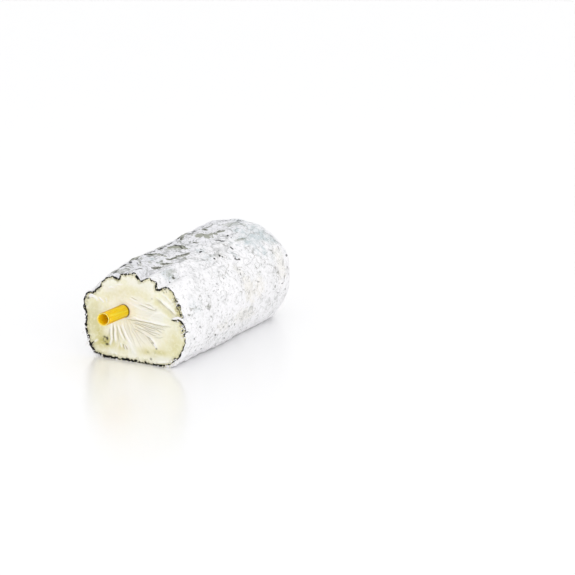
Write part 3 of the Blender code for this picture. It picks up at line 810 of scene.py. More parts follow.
def stroke_field(place, strokes):
    """Strongest stroke at each point: a bell of the distance to its path, fading to its ends."""
    across, upwards = place
    field = np.zeros(across.shape)
    for half_width, height, path in strokes:
        path = np.array(path)
        steps = np.hypot(*np.diff(path, axis=0).T)
        before = 0.0
        for start, end, step in zip(path[:-1], path[1:], steps):
            way = (end - start) / step
            run = (across - start[0]) * way[0] + (upwards - start[1]) * way[1]
            run = np.clip(run, 0, step)
            away = np.hypot(across - start[0] - run * way[0], upwards - start[1] - run * way[1])
            from_middle = np.abs(2 * (before + run) / steps.sum() - 1)
            fade = 1 - from_middle**STROKE_FADE_POWER * STROKE_FADE
            field = np.maximum(field, height * fade * bell(away, half_width))
            before += step
    return field


def area_field(place, areas):
    """Strongest area at each point, each a bell that is wider one way than the other."""
    across, upwards = place
    field = np.zeros(across.shape)
    for x, z, reach_x, reach_z, strength in areas:
        away = np.hypot((across - x) / reach_x, (upwards - z) / reach_z)
        field = np.maximum(field, strength * bell(away, 1.0))
    return field


def cut_relief(points):
    """Uneven noise and a fan of ridges round the straw, as in the solid."""
    bore_x, bore_z = straw_line(CUT_Y)
    across = points[..., 0] - bore_x
    upwards = points[..., 2] - bore_z
    share = (np.degrees(np.arctan2(upwards, across)) - FAN_FROM) / (FAN_TO - FAN_FROM)
    inside = np.clip(4 * share * (1 - share), 0, 1)
    middle = (FAN_START + FAN_REACH) / 2
    along = bell(np.hypot(across, upwards) - middle, FAN_REACH - middle)
    ridges = np.cos(share * FAN_RIDGES * 2 * math.pi) * inside * along * FAN_HEIGHT
    return smooth_noise(points / CUT_UNEVEN_SIZE, CUT_SEED) * CUT_UNEVEN + ridges


def rim_distance(rows, rim):
    """Distance of each point from the rim across the cut, to the nearest of the rim's sides."""
    points = rows[..., (0, 2)]
    least = np.full(rows.shape[:2], np.inf)
    for shift in range(-RIM_WINDOW, RIM_WINDOW + 1):
        start = np.roll(rim, shift, axis=0)[:, (0, 2)]
        side = np.roll(rim, shift - 1, axis=0)[:, (0, 2)] - start
        share = ((points - start) * side).sum(axis=-1) / (side**2).sum(axis=-1)
        nearest = start + side * np.clip(share, 0, 1)[..., None]
        least = np.minimum(least, np.linalg.norm(points - nearest, axis=-1))
    return least


def straw_fields(rows):
    """The brown ring where the straw enters the cut, partly stain and partly painted shade of the
    crevice, and the fan that the knife has drawn out.

    The ring is a bell of the distance from the straw, on its right side. The fan rises and falls
    with the distance, and is strongest round its heading.
    """
    bore_x, bore_z = straw_line(CUT_Y)
    across = (rows[..., 0] - bore_x) / MM
    upwards = (rows[..., 2] - bore_z) / MM
    away = np.hypot(across, upwards)
    ring = bell(away - STRAW_RADIUS / MM - STRAW_RING_GAP, STRAW_RING)
    ring = ring * smooth_step(across / away, *STRAW_RING_SIDE)
    combed = smooth_step(away, *COMBED_START) * (1 - smooth_step(away, *COMBED_END))
    heading = np.cos(np.arctan2(upwards, across) - COMBED_HEADING)
    fan = COMBED_LEAST + (1 - COMBED_LEAST) * smooth_step(heading, *COMBED_EDGE)
    return {"ring": ring, "combed": combed * fan}


def cut_rows(rim, ring, degrees, settings):
    """The cut face from the bore's mouth out to just short of the rim, and its fields.

    Chalk is white and smeared, and a groove is darkened by its depth as painted shade. Pale, butter
    and beige are colours of the paste, and beside the straw lies a peach painted light, bounced from
    it. Spot is a dark fleck, crumbled the broken part of the edge, and the grey of the mould at the
    cut's foot is painted shade.
    edge_mm is the distance in from the mould, and line that distance as a share of the ash line's
    width.
    """
    spoke = rim - ring
    length = np.linalg.norm(spoke, axis=-1)
    even = np.linspace(0, 1, CUT_ROWS + 1)[:-1, None] * (1 - EDGE_ROWS[0] / length)
    edge = 1 - np.array(EDGE_ROWS)[:, None] / length
    share = np.concatenate([even, edge])
    rows = ring + spoke * share[..., None]
    wobble = rows / STROKE_WOBBLE_SIZE
    across = rows[..., 0] / MM + smooth_noise(wobble, STROKE_SEED) * STROKE_WOBBLE
    upwards = rows[..., 2] / MM + smooth_noise(wobble, STROKE_SEED + 1) * STROKE_WOBBLE
    place = (across, upwards)
    sunken = stroke_field(place, SUNKEN_STROKES)
    # The grooves are darkened by their depth: painted shade.
    furrow = np.minimum(sunken * GROOVE_SHADE_STRENGTH, 1)
    lip = stroke_field((across, upwards - LIP_RISE), SUNKEN_STROKES) * LIP_HEIGHT * (1 - furrow)
    raised = np.maximum(stroke_field(place, RAISED_STROKES), lip)
    from_rim = rim_distance(rows, rim) / MM
    crumbled = smooth_step(turn_between(degrees, ROUGH_EDGE_FROM), 0, ROUGH_EDGE_FADE)
    crumbled = crumbled * smooth_step(turn_between(ROUGH_EDGE_TO, degrees), 0, ROUGH_EDGE_FADE)
    crumbled = crumbled * bell(from_rim, ROUGH_EDGE_REACH)
    grain = noise_sum(rows, CURD_GRAIN) + noise_sum(rows, CRUMBLED_GRAIN) * crumbled
    grain += noise_sum(rows, EDGE_GRAIN) * bell(from_rim - EDGE_GRAIN_PLACE, EDGE_GRAIN_REACH)
    fine = (raised - sunken) * settings.stroke_height / MM + grain
    fine -= bell(from_rim - EDGE_GROOVE_PLACE, EDGE_GROOVE_REACH) * EDGE_GROOVE_DEPTH
    fine *= smooth_step(from_rim, 0.0, EDGE_HOLD)
    rows[..., 1] -= cut_relief(rows) * (1 - share**CUT_HOLD_POWER) + fine * MM
    edge_mm = from_rim - MOULD_THICKNESS - bell_sum(degrees, THICK_MOULD)
    butter = np.maximum(area_field(place, BUTTER_AREAS), stroke_field(place, BUTTER_BANDS))
    pale = np.maximum(area_field(place, PALE_AREAS), stroke_field(place, PALE_BANDS))
    fields = {
        "edge_mm": edge_mm,
        "line": edge_mm / (ASH_LINE_WIDTH + bell_sum(degrees, WIDE_ASH_LINE)),
        "chalk": np.minimum(raised * CHALK_STRENGTH, 1),
        "pale": pale,
        "furrow": furrow,
        "butter": butter,
        "beige": area_field(place, BEIGE_AREAS),
        "spot": np.minimum(area_field(place, DARK_SPOTS) * SPOT_STRENGTH, 1),
        "crumbled": crumbled,
        # Painted warm light bounced from the straw.
        "bleed": area_field(place, STRAW_BOUNCE_LIGHT),
        # Painted shade on the mould at the cut's foot.
        "sooty": bell_sum(degrees, FOOT_SHADE) + 0 * share,
        **straw_fields(rows),
    }
    return rows, fields


def closed_grid(name, rows, fields):
    """A mesh from rows of points that close on themselves both ways, with a value for each."""
    number = np.arange(rows[..., 0].size).reshape(rows.shape[:2])
    following = np.roll(number, -1, axis=0)
    quads = [number, following, np.roll(following, -1, axis=1), np.roll(number, -1, axis=1)]
    mesh = bpy.data.meshes.new(name)
    mesh.from_pydata(rows.reshape(-1, 3), [], np.stack(quads, axis=-1).reshape(-1, 4))
    for field, values in fields.items():
        layer = mesh.attributes.new(field, "FLOAT", "POINT")
        layer.data.foreach_set("value", values.astype(np.float32).ravel())
    mesh.shade_smooth()
    return mesh


def tapered_strand(path, half_width, half_thickness, rows, sides):
    """Rows of an elliptical tube along a path on the cut, with a pole at each end.

    Size follows the square root of a sine from end to end, so the ends are round.
    """
    path = np.array(path)
    run = np.append(0, np.cumsum(np.linalg.norm(np.diff(path, axis=0), axis=1)))
    turn = np.linspace(0, math.pi, rows + 2)
    steps = (1 - np.cos(turn)) / 2 * run[-1]
    middle = np.stack([np.interp(steps, run, path[:, i]) for i in range(3)], axis=-1)
    way = np.gradient(middle, axis=0)
    way /= np.linalg.norm(way, axis=1, keepdims=True)
    out = np.array([0.0, -1.0, 0.0])
    side = np.cross(way, out)
    side /= np.linalg.norm(side, axis=1, keepdims=True)
    size = np.sqrt(np.sin(turn).clip(0))[:, None, None]
    angle = np.linspace(0, 2 * math.pi, sides, endpoint=False)[:, None]
    tube = side[:, None] * np.cos(angle) * half_width + out * np.sin(angle) * half_thickness
    return middle[:, None] + tube * size


def capped_bodies(name, bodies, darks):
    """A mesh of closed bodies. Each has rows of points, and its first and last rows are poles."""
    points = []
    faces = []
    shades = []
    first = 0
    for rows, dark in zip(bodies, darks):
        inner = rows[1:-1]
        count, sides = inner.shape[:2]
        number = first + np.arange(count * sides).reshape(count, sides)
        after = np.roll(number, -1, axis=1)
        poles = first + count * sides + np.arange(2)
        quads = np.stack([number[:-1], after[:-1], after[1:], number[1:]], axis=-1)
        near = np.stack([after[0], number[0], np.full(sides, poles[0])], axis=-1)
        far = np.stack([number[-1], after[-1], np.full(sides, poles[1])], axis=-1)
        faces += quads.reshape(-1, 4).tolist() + near.tolist() + far.tolist()
        points += [inner.reshape(-1, 3), rows[0].mean(axis=0)[None], rows[-1].mean(axis=0)[None]]
        shades.append(np.full(count * sides + 2, dark))
        first += count * sides + 2
    mesh = bpy.data.meshes.new(name)
    mesh.from_pydata(np.concatenate(points), [], faces)
    turned = bmesh.new()
    turned.from_mesh(mesh)
    bmesh.ops.recalc_face_normals(turned, faces=turned.faces)
    turned.to_mesh(mesh)
    turned.free()
    layer = mesh.attributes.new("dark", "FLOAT", "POINT")
    layer.data.foreach_set("value", np.concatenate(shades).astype(np.float32))
    mesh.shade_smooth()
    return mesh


def rim_point(degrees, inward):
    """A point on the cut, this far in from the plain section with the cut's folds."""
    reach, centre_z = section_reach(degrees, CUT_Y)
    reach = reach + fold_relief(degrees, CUT_Y) - inward
    turn = np.radians(degrees)
    height = rest_on_floor(centre_z + reach * np.sin(turn))
    return np.array([reach * np.cos(turn), CUT_Y, height + 0 * turn])


def edge_crumbs():
    """Small uneven grains on the edge of the cut, placed by seeded chance, and their darkness."""
    chance = np.random.default_rng(CRUMB_SEED)
    bodies = []
    darks = []
    for count, start, end, least, most, biggest, black, coloured in CRUMB_GROUPS:
        for _ in range(count):
            size = chance.uniform(SMALLEST_CRUMB, biggest) * MM
            inward = chance.uniform(least, most) * MM + size
            middle = rim_point(chance.uniform(start, end), inward)
            way = chance.normal(size=3)
            way *= size / np.linalg.norm(way)
            path = np.array([middle - way, middle + way])
            half_width, half_thickness = size * CRUMB_WIDTH, size * CRUMB_THICKNESS
            grain = tapered_strand(path, half_width, half_thickness, CRUMB_ROWS, CRUMB_SIDES)
            grain += (grain - middle) * chance.uniform(-CRUMB_UNEVEN, CRUMB_UNEVEN, grain.shape)
            grain[..., 2] = np.maximum(grain[..., 2], OFF_TABLE)
            bodies.append(grain)
            lot = chance.uniform()
            darks.append(1.0 if lot < black else BUTTERY_CRUMB if lot < coloured else 0.0)
    return bodies, darks


def edge_shreds():
    """The torn shreds as strands along their paths, made uneven by noise, and their darkness."""
    bodies = []
    darks = []
    for half_width, half_thickness, lift, dark, path in SHREDS:
        path = np.array([(x * MM, CUT_Y - lift * MM, z * MM) for x, z in path])
        size = (half_width * MM, half_thickness * MM)
        strand = tapered_strand(path, *size, SHRED_ROWS, SHRED_SIDES)
        strand += noise_sum(strand, SHRED_UNEVEN)[..., None]
        strand[..., 2] = np.maximum(strand[..., 2], OFF_TABLE)
        bodies.append(strand)
        darks.append(dark)
    return bodies, darks


def place_piece(name, mesh):
    """An object for the mesh, riding on the root body."""
    piece = bpy.data.objects.new(name, mesh)
    bpy.context.scene.collection.objects.link(piece)
    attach(piece, "root")
    return piece


def mould_rind(settings, fields):
    """White mould over a dusting of wood ash: a dry velvet with no shine.

    It is whitest on the sides and thin and grey on top, where the grey is partly painted shade. Bare
    patches show the ash as olive grey with a dark lip of painted shade, and small specks of it show
    through everywhere.
    """
    material, node = new_material("mould_rind")
    place = node("TexCoord").outputs["Object"]
    masks = {name: node("Attribute", attribute_name=name).outputs["Fac"] for name in fields}
    # Sizes in mm, and detail. The mould's cotton and dust are finer in life, and are drawn as
    # coarse as they need to show.
    cloud, curd, cotton, drift = (
        node("TexNoise", {"Vector": place, "Scale": 1 / (size * MM), "Detail": detail})
        for size, detail in ((5.88, 4), (1.538, 3), (0.5, 2), (11.1, 3))
    )
    products = {}
    for name, low, high, roughness in (
        # where a field's edge starts and ends, and how much the curd's noise roughens it
        ("ash", 0.30, 0.40, 0.9),
        # lip is painted shade on the far edge of the bare patches
        ("lip", 0.16, 0.40, 0.8),
        ("soot", 0.45, 0.65, 2.0),
        ("grey", 0.10, 0.90, 1.0),
        ("blue", 0.02, 1.05, 1.6),
        ("warm", 0.00, 1.20, 1.6),
    ):
        rough = node("Math", {0: curd, 1: roughness, 2: masks[name]}, operation="MULTIPLY_ADD")
        half = roughness / 2
        products[name] = node("MapRange", {0: rough, 1: low + half, 2: high + half})
    for name, source, low, high, most in (
        # a noise, where it starts to count and where it counts in full, and for how much
        ("cloudy", cloud, 0.42, 0.66, 0.35),
        ("veiled", curd, 0.46, 0.66, 0.65),
        ("blotched", curd, 0.56, 0.68, 0.3),
        ("fluffy", cotton, 0.46, 0.36, 0.6),
        ("pitted", cotton, 0.56, 0.66, 0.44),
        ("crowded", drift, 0.50, 0.64, 0.8),
        ("gated", cloud, 0.46, 0.58, 0.5),
        ("grainy", curd, 0.48, 0.56, 0.6),
        ("threaded", curd, 0.50, 0.58, 0.5),
        ("drifting", drift, 0.42, 0.60, 0.4),
        ("tinted", cloud, 0.36, 0.58, 0.95),
    ):
        products[name] = node("MapRange", {0: source, 1: low, 2: high, 4: most})
    for name, width, wander in (("worm", 0.10, 0.16), ("wrinkle", 0.05, 0.10)):
        # a line along the hollow, where the relief's noise crosses zero: partly ash and partly
        # painted shade in the hollow
        moved = node("Math", {0: curd, 1: wander, 2: masks[name]}, operation="MULTIPLY_ADD")
        beside = node("Math", {0: moved, 1: wander / 2}, operation="SUBTRACT")
        near = node("Math", {0: beside}, operation="ABSOLUTE")
        hollow = node("MapRange", {0: near, 1: width, 2: width / 4, 4: 1.0})
        products[name] = node("Math", {0: hollow, 1: masks["broken"]}, operation="MULTIPLY")
    crowd = {0: masks["crowd"], 1: 0.8, 2: products["crowded"]}
    density = node("Math", crowd, operation="MULTIPLY_ADD")
    bend = {0: curd.outputs["Color"], 1: [FLECK_BEND] * 3, 2: place}
    bent = node("VectorMath", bend, operation="MULTIPLY_ADD")
    for name, size, share, empty, darkness in (
        # a cell's size in mm, a fleck's share of it, share of cells without one, darkness
        ("dust", 1.0, 0.26, 0.86, 0.40),
        ("speck", 1.786, 0.18, 0.95, 0.60),
        ("fleck", 3.03, 0.14, 1.03, 0.65),
        ("spot", 6.25, 0.08, 0.98, 0.70),
    ):
        cells = node("TexVoronoi", {"Vector": bent, "Scale": 1 / (size * MM)}, feature="F1")
        dot = node("MapRange", {0: cells, 1: share, 2: share * 1.5, 3: darkness, 4: 0.0})
        lot = {0: density, 1: 0.4, 2: cells.outputs["Color"]}
        lot = node("Math", lot, operation="MULTIPLY_ADD")
        chosen = node("MapRange", {0: lot, 1: empty, 2: empty + 0.05})
        products[name] = node("Math", {0: dot, 1: chosen}, operation="MULTIPLY")
    for name, size, width, gate in (
        # a wave's size in mm, half width as a share of its height, what breaks the line up
        ("thread", 2.632, 0.020, "threaded"),
        ("crack", 7.69, 0.008, "gated"),
    ):
        wave = node("TexNoise", {"Vector": place, "Scale": 1 / (size * MM), "Detail": 2})
        line = node("Math", {0: wave, 1: 0.5, 2: width}, operation="COMPARE")
        products[name] = node("Math", {0: line, 1: products[gate]}, operation="MULTIPLY")
    for name, first, second in (
        ("bare", "ash", masks["ash_tone"]),
        ("scorch", "soot", masks["soot_tone"]),
        ("veil", "veiled", masks["grey"]),
        ("worm line", "worm", 0.15),
        ("worm vein", "worm", masks["grey"]),
        ("wrinkle line", "wrinkle", 0.20),
        ("wrinkle vein", "wrinkle", masks["grey"]),
        ("bluish", "blue", products["tinted"]),
        ("creamy", "warm", 0.35),
        ("dark bare", "bare", products["grainy"]),
    ):
        products[name] = node("Math", {0: products[first], 1: second}, operation="MULTIPLY")
    # The grey and the veil on top are partly painted shade.
    layers = {
        "cloudy": "#F1F1F2", "drifting": "#EBEBEC", "blotched": "#E6E7E9", "grey": "#E8E8ED",
        "veil": "#D0D1D6", "bluish": "#BECACE", "creamy": "#E9E1C8", "fluffy": "#F8F8FB",
        "pitted": "#D4D4D4", "thread": "#A3A4A2", "crack": "#8C867A", "worm line": "#74766F",
        "worm vein": "#9A9C9C", "wrinkle line": "#6E706A", "wrinkle vein": "#9C9E9C",
        "dust": "#6A6B64", "speck": "#5E5E55", "fleck": "#55554C", "spot": "#4C4C44",
        "bare": settings.ash_colour, "dark bare": "#979A8D", "lip": "#73746C",
        "scorch": settings.soot_colour,
    }
    layers = [(products[name], colour) for name, colour in layers.items()]
    shader = {"Roughness": 0.92, "Specular IOR Level": 0.2}
    finish_material(node, settings.mould_colour, layers, (cotton, 0.6, 0.15 * MM), shader)
    return material


def cheese_paste(settings, fields):
    """Fresh goat's curd under the knife: fine, dense and moist, with a soft wet shine.

    Light goes a little way into it. It is butter yellow where it is moist, chalk white where the
    knife has smeared it, and ringed by the dark line of ash under the mould. Its grooves, the
    crevice round the straw and the mould at its foot carry painted shade, and a painted warm light
    lies beside the straw.
    """
    material, node = new_material("cheese_paste")
    place = node("TexCoord").outputs["Object"]
    masks = {name: node("Attribute", attribute_name=name).outputs["Fac"] for name in fields}
    # Sizes in mm, and detail. The curd's grain is finer in life, and is drawn as coarse as it
    # needs to show.
    cloud, curd, crumb = (
        node("TexNoise", {"Vector": place, "Scale": 1 / (size * MM), "Detail": detail})
        for size, detail in ((3.846, 4), (0.909, 3), (1.429, 2))
    )
    jagged = masks["line"]
    for noise, share in ((cloud, 1.4), (crumb, 2.4), (curd, 1.4)):
        jagged = node("Math", {0: noise, 1: share, 2: jagged}, operation="MULTIPLY_ADD")
    fuzzy = node("Math", {0: curd, 1: 0.5, 2: masks["edge_mm"]}, operation="MULTIPLY_ADD")
    # Streaks that run out from the straw: a noise on the heading from it, and slowly on the place.
    straw_x, straw_z = straw_line(CUT_Y)
    from_straw = node("VectorMath", {0: place, 1: (straw_x, 0.0, straw_z)}, operation="SUBTRACT")
    flat = node("VectorMath", {0: from_straw, 1: (1.0, 0.0, 1.0)}, operation="MULTIPLY")
    heading = node("VectorMath", {0: flat}, operation="NORMALIZE")
    slow = node("VectorMath", {0: place, 1: [1 / STREAK_LENGTH] * 3}, operation="MULTIPLY")
    drawn = {0: heading, 1: [STREAKS_ROUND / math.tau] * 3, 2: slow}
    drawn = node("VectorMath", drawn, operation="MULTIPLY_ADD")
    streak = node("TexNoise", {"Vector": drawn, "Scale": 1, "Detail": 3})
    amounts = dict(masks)
    for name, source, low, high, first, last in (
        # a noise or field, the range of it that counts, and the amounts at its ends
        ("mottled", cloud, 0.38, 0.66, 0.0, 0.5),
        ("ash ring", jagged, 3.35, 3.6, 1.0, 0.0),
        ("halo", jagged, 3.5, 5.1, 0.55, 0.0),
        ("skin", fuzzy, 0.23, 0.30, 1.0, 0.0),
        ("open", crumb, 0.58, 0.63, 0.0, 0.85),
        ("grainy", curd, 0.50, 0.58, 0.0, 1.0),
        ("smeared", cloud, 0.52, 0.42, 0.0, 0.35),
        ("light", streak, 0.53, 0.66, 0.0, 0.38),
        ("dark", streak, 0.47, 0.34, 0.0, 0.30),
        ("curdled", curd, 0.45, 0.65, 0.0, 0.3),
        ("lit", crumb, 0.50, 0.66, 0.0, 0.35),
        ("dimmed", crumb, 0.49, 0.36, 0.0, 0.22),
    ):
        amounts[name] = node("MapRange", {0: source, 1: low, 2: high, 3: first, 4: last})
    for name, first, second in (
        ("broken", "crumbled", "grainy"),
        ("gap", "ash ring", "open"),
        # painted shade on the skin of mould at the cut's foot
        ("sooty skin", "sooty", "skin"),
        ("light streak", "light", "combed"),
        ("dark streak", "dark", "combed"),
    ):
        factors = {0: amounts[first], 1: amounts[second]}
        amounts[name] = node("Math", factors, operation="MULTIPLY")
    # The groove, crevice and foot colours below are painted shade, the crevice's partly a real
    # stain, and the peach beside the straw is painted light bounced from it.
    layers = {
        "mottled": "#F2EEC6", "curdled": "#F1EEDA", "smeared": "#FCFAEE", "butter": "#CBC26E",
        "lit": "#FAF8E8", "dimmed": "#E2DDB4", "pale": "#EFEFE5", "beige": "#EEEADB",
        "light streak": "#FCFAF2", "dark streak": "#CFC8A8", "bleed": "#FCE2C6",
        "furrow": "#958D5A", "chalk": "#FEFDF8", "crumbled": "#DCD394", "broken": "#4A4526",
        "halo": "#A8A168", "spot": "#45432E", "ring": "#6E4400", "ash ring": settings.soot_colour,
        "gap": "#CFCBB4", "skin": settings.mould_colour, "sooty skin": "#8A8B86",
    }
    layers = [(amounts[name], colour) for name, colour in layers.items()]
    shader = {
        "Roughness": 0.42,
        "IOR": 1.45,
        "Specular IOR Level": 0.2,
        "Subsurface Weight": 0.12,
        "Subsurface Radius": (1.0, 0.8, 0.5),
        "Subsurface Scale": 0.6 * MM,
    }
    finish_material(node, settings.paste_colour, layers, (curd, 0.5, 0.1 * MM), shader)
    return material


def rind_crumb(settings):
    """Crumbs and shreds of rind at the cut: dry, and white, buttery or black with ash by turns."""
    material, node = new_material("rind_crumb")
    place = node("TexCoord").outputs["Object"]
    dark = node("Attribute", attribute_name="dark").outputs["Fac"]
    curd = node("TexNoise", {"Vector": place, "Scale": 1 / CRUMB_GRAIN, "Detail": 3})
    rough = node("Math", {0: curd, 1: 0.5, 2: dark}, operation="MULTIPLY_ADD")
    buttery = node("MapRange", {0: rough, 1: 0.45, 2: 0.60})
    black = node("MapRange", {0: rough, 1: 0.85, 2: 1.00})
    layers = ((buttery, "#DAD6B2"), (black, settings.soot_colour))
    relief = (curd, 0.5, 0.08 * MM)
    finish_material(node, settings.mould_colour, layers, relief, {"Roughness": 0.8})
    return material


def dried_straw(settings):
    """A dried cereal stalk: waxy golden fibre, streaked along its length and amber inside."""
    material, node = new_material("dried_straw")
    place = node("TexCoord").outputs["Object"]
    inside, pale, stain_and_shade = (
        node("Attribute", attribute_name=name).outputs["Fac"] for name in ("inside", "pale", "stain_and_shade")
    )
    noises = []
    for across, along, detail in STRAW_FIBRES:
        drawn = node("Mapping", {"Vector": place, "Scale": (1 / across, 1 / along, 1 / across)})
        noises.append(node("TexNoise", {"Vector": drawn, "Scale": 1, "Detail": detail}))
    fibre, band = noises
    light = node("MapRange", {0: band, 1: 0.5, 2: 0.66, 4: 0.8})
    dark = node("MapRange", {0: fibre, 1: 0.48, 2: 0.3, 4: 0.6})
    # The stain layer is partly brown stain and partly painted shade, at the cut and along the
    # straw's top and bottom edges.
    layers = (
        (light, "#FFDE3C"), (dark, "#E08C00"), (inside, "#FFCE14"), (pale, "#FFE080"),
        (stain_and_shade, "#5C3200"),
    )
    shader = {
        "Roughness": 0.5,
        "IOR": 1.45,
        "Specular IOR Level": 0.3,
        "Subsurface Weight": 0.82,
        "Subsurface Radius": (1.0, 0.75, 0.15),
        "Subsurface Scale": 1.8 * MM,
    }
    finish_material(node, settings.straw_colour, layers, (fibre, 0.5, 0.05 * MM), shader)
    return material


def white_acrylic(settings):
    """A lacquered white acrylic sheet: bright, and shiny enough to mirror the log softly."""
    material, node = new_material("white_acrylic")
    shader = {
        "Base Color": (*settings.floor_colour[:3], 1.0),
        "Roughness": 0.28,
        "IOR": 1.55,
        "Coat Weight": 1.0,
        "Coat Roughness": 0.26,
        "Coat IOR": 1.65,
    }
    node("OutputMaterial", {"Surface": node("BsdfPrincipled", shader)})
    return material


COLOUR = {"subtype": "COLOR", "size": 4}


class CheeseLogSettings(bpy.types.PropertyGroup):
    """Sizes and colours of the cheese."""

    worm_height: FloatProperty(
        name="Worm height",
        description="Height of the small worm-like wrinkles of the mould",
        default=0.9 * MM,
        unit="LENGTH",
    )
    ash_depth: FloatProperty(
        name="Bare patch depth",
        description="How far the bare patches lie under the mould",
        default=0.15 * MM,
        unit="LENGTH",
    )
    stroke_height: FloatProperty(
        name="Knife stroke height",
        description="Height on the cut of one millimetre of a knife stroke's listed height",
        default=1.0 * MM,
        unit="LENGTH",
    )
    mould_colour: FloatVectorProperty(
        name="Mould", description="White mould", default=linear("#F7F6F8"), **COLOUR
    )
    ash_colour: FloatVectorProperty(
        name="Bare ash", description="Ash of the bare patches", default=linear("#9FA194"), **COLOUR
    )
    soot_colour: FloatVectorProperty(
        name="Dark ash",
        description="The darkest marks, and the line round the cut",
        default=linear("#0B0B07"),
        **COLOUR,
    )
    paste_colour: FloatVectorProperty(
        name="Paste", description="The cheese inside", default=linear("#FBFAEC"), **COLOUR
    )


class StrawSettings(bpy.types.PropertyGroup):
    """Sizes and colours of the straw."""

    rib_height: FloatProperty(
        name="Rib height",
        description="Height of the ribs along the straw",
        default=STRAW_RIB_HEIGHT,
        unit="LENGTH",
    )
    straw_colour: FloatVectorProperty(
        name="Straw", description="Dried stalk", default=linear("#FFC600"), **COLOUR
    )


class StudioSettings(bpy.types.PropertyGroup):
    """Camera, lights and table."""

    azimuth: FloatProperty(
        name="Azimuth",
        description="Camera's turn round the log from straight in front of the cut",
        default=math.radians(28.14),
        unit="ROTATION",
    )
    elevation: FloatProperty(
        name="Elevation",
        description="Camera's angle above the table",
        default=math.radians(15.35),
        unit="ROTATION",
    )
    distance: FloatProperty(
        name="Distance",
        description="Camera's distance from the cut",
        default=0.85,
        unit="LENGTH",
    )
    floor_colour: FloatVectorProperty(
        name="Table", description="White table", default=linear("#FDFDFE"), **COLOUR
    )
    sky_strength: FloatProperty(
        name="Room light", description="Strength of the white room", default=1.0
    )
    key_power: FloatProperty(
        name="Main light", description="Power of the large soft light", default=2.7, unit="POWER"
    )


class CUTCHEESE_OT_log(bpy.types.Operator):
    """Adds the cheese: its mould rind and its cut face as one closed surface"""

    bl_idname = "cut_cheese.add_log"
    bl_label = "Cheese"

    def execute(self, context):
        """Out along the rind, in over the whole end, back down the bore and out over the cut."""
        settings = context.scene.cheese_log
        degrees = side_angles()
        rind, rind_marks = rind_rows(degrees, settings)
        bore_y = np.linspace(END_Y - END_DIMPLE, CUT_Y, BORE_ROWS + 1)[1:-1]
        bore = np.stack([bore_ring(degrees, y) for y in bore_y])
        cut, cut_marks = cut_rows(rind[0], bore_ring(degrees, CUT_Y), degrees, settings)
        rows = np.concatenate([rind, bore, cut])
        fields = {name: np.zeros(rows.shape[:2]) for name in (*rind_marks, *cut_marks)}
        for name, values in rind_marks.items():
            fields[name][: len(rind)] = values
        for name, values in cut_marks.items():
            fields[name][-len(cut) :] = values
        mesh = closed_grid("cheese_log", rows, fields)
        mesh.materials.append(mould_rind(settings, rind_marks))
        mesh.materials.append(cheese_paste(settings, cut_marks))
        slots = np.zeros(len(mesh.polygons), dtype=np.int32)
        slots[(len(rind) - 1) * SIDES :] = 1
        mesh.polygons.foreach_set("material_index", slots)
        piece = place_piece("cheese_log", mesh)
        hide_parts("cheese")
        return {"FINISHED"}


class CUTCHEESE_OT_shreds(bpy.types.Operator):
    """Adds the shreds and crumbs of rind at the edge of the cut"""

    bl_idname = "cut_cheese.add_shreds"
    bl_label = "Rind shreds"

    def execute(self, context):
        """Listed strands, then grains along the edge."""
        shreds, shred_darks = edge_shreds()
        crumbs, crumb_darks = edge_crumbs()
        mesh = capped_bodies("rind_shreds", shreds + crumbs, shred_darks + crumb_darks)
        mesh.materials.append(rind_crumb(context.scene.cheese_log))
        place_piece("rind_shreds", mesh)
        return {"FINISHED"}


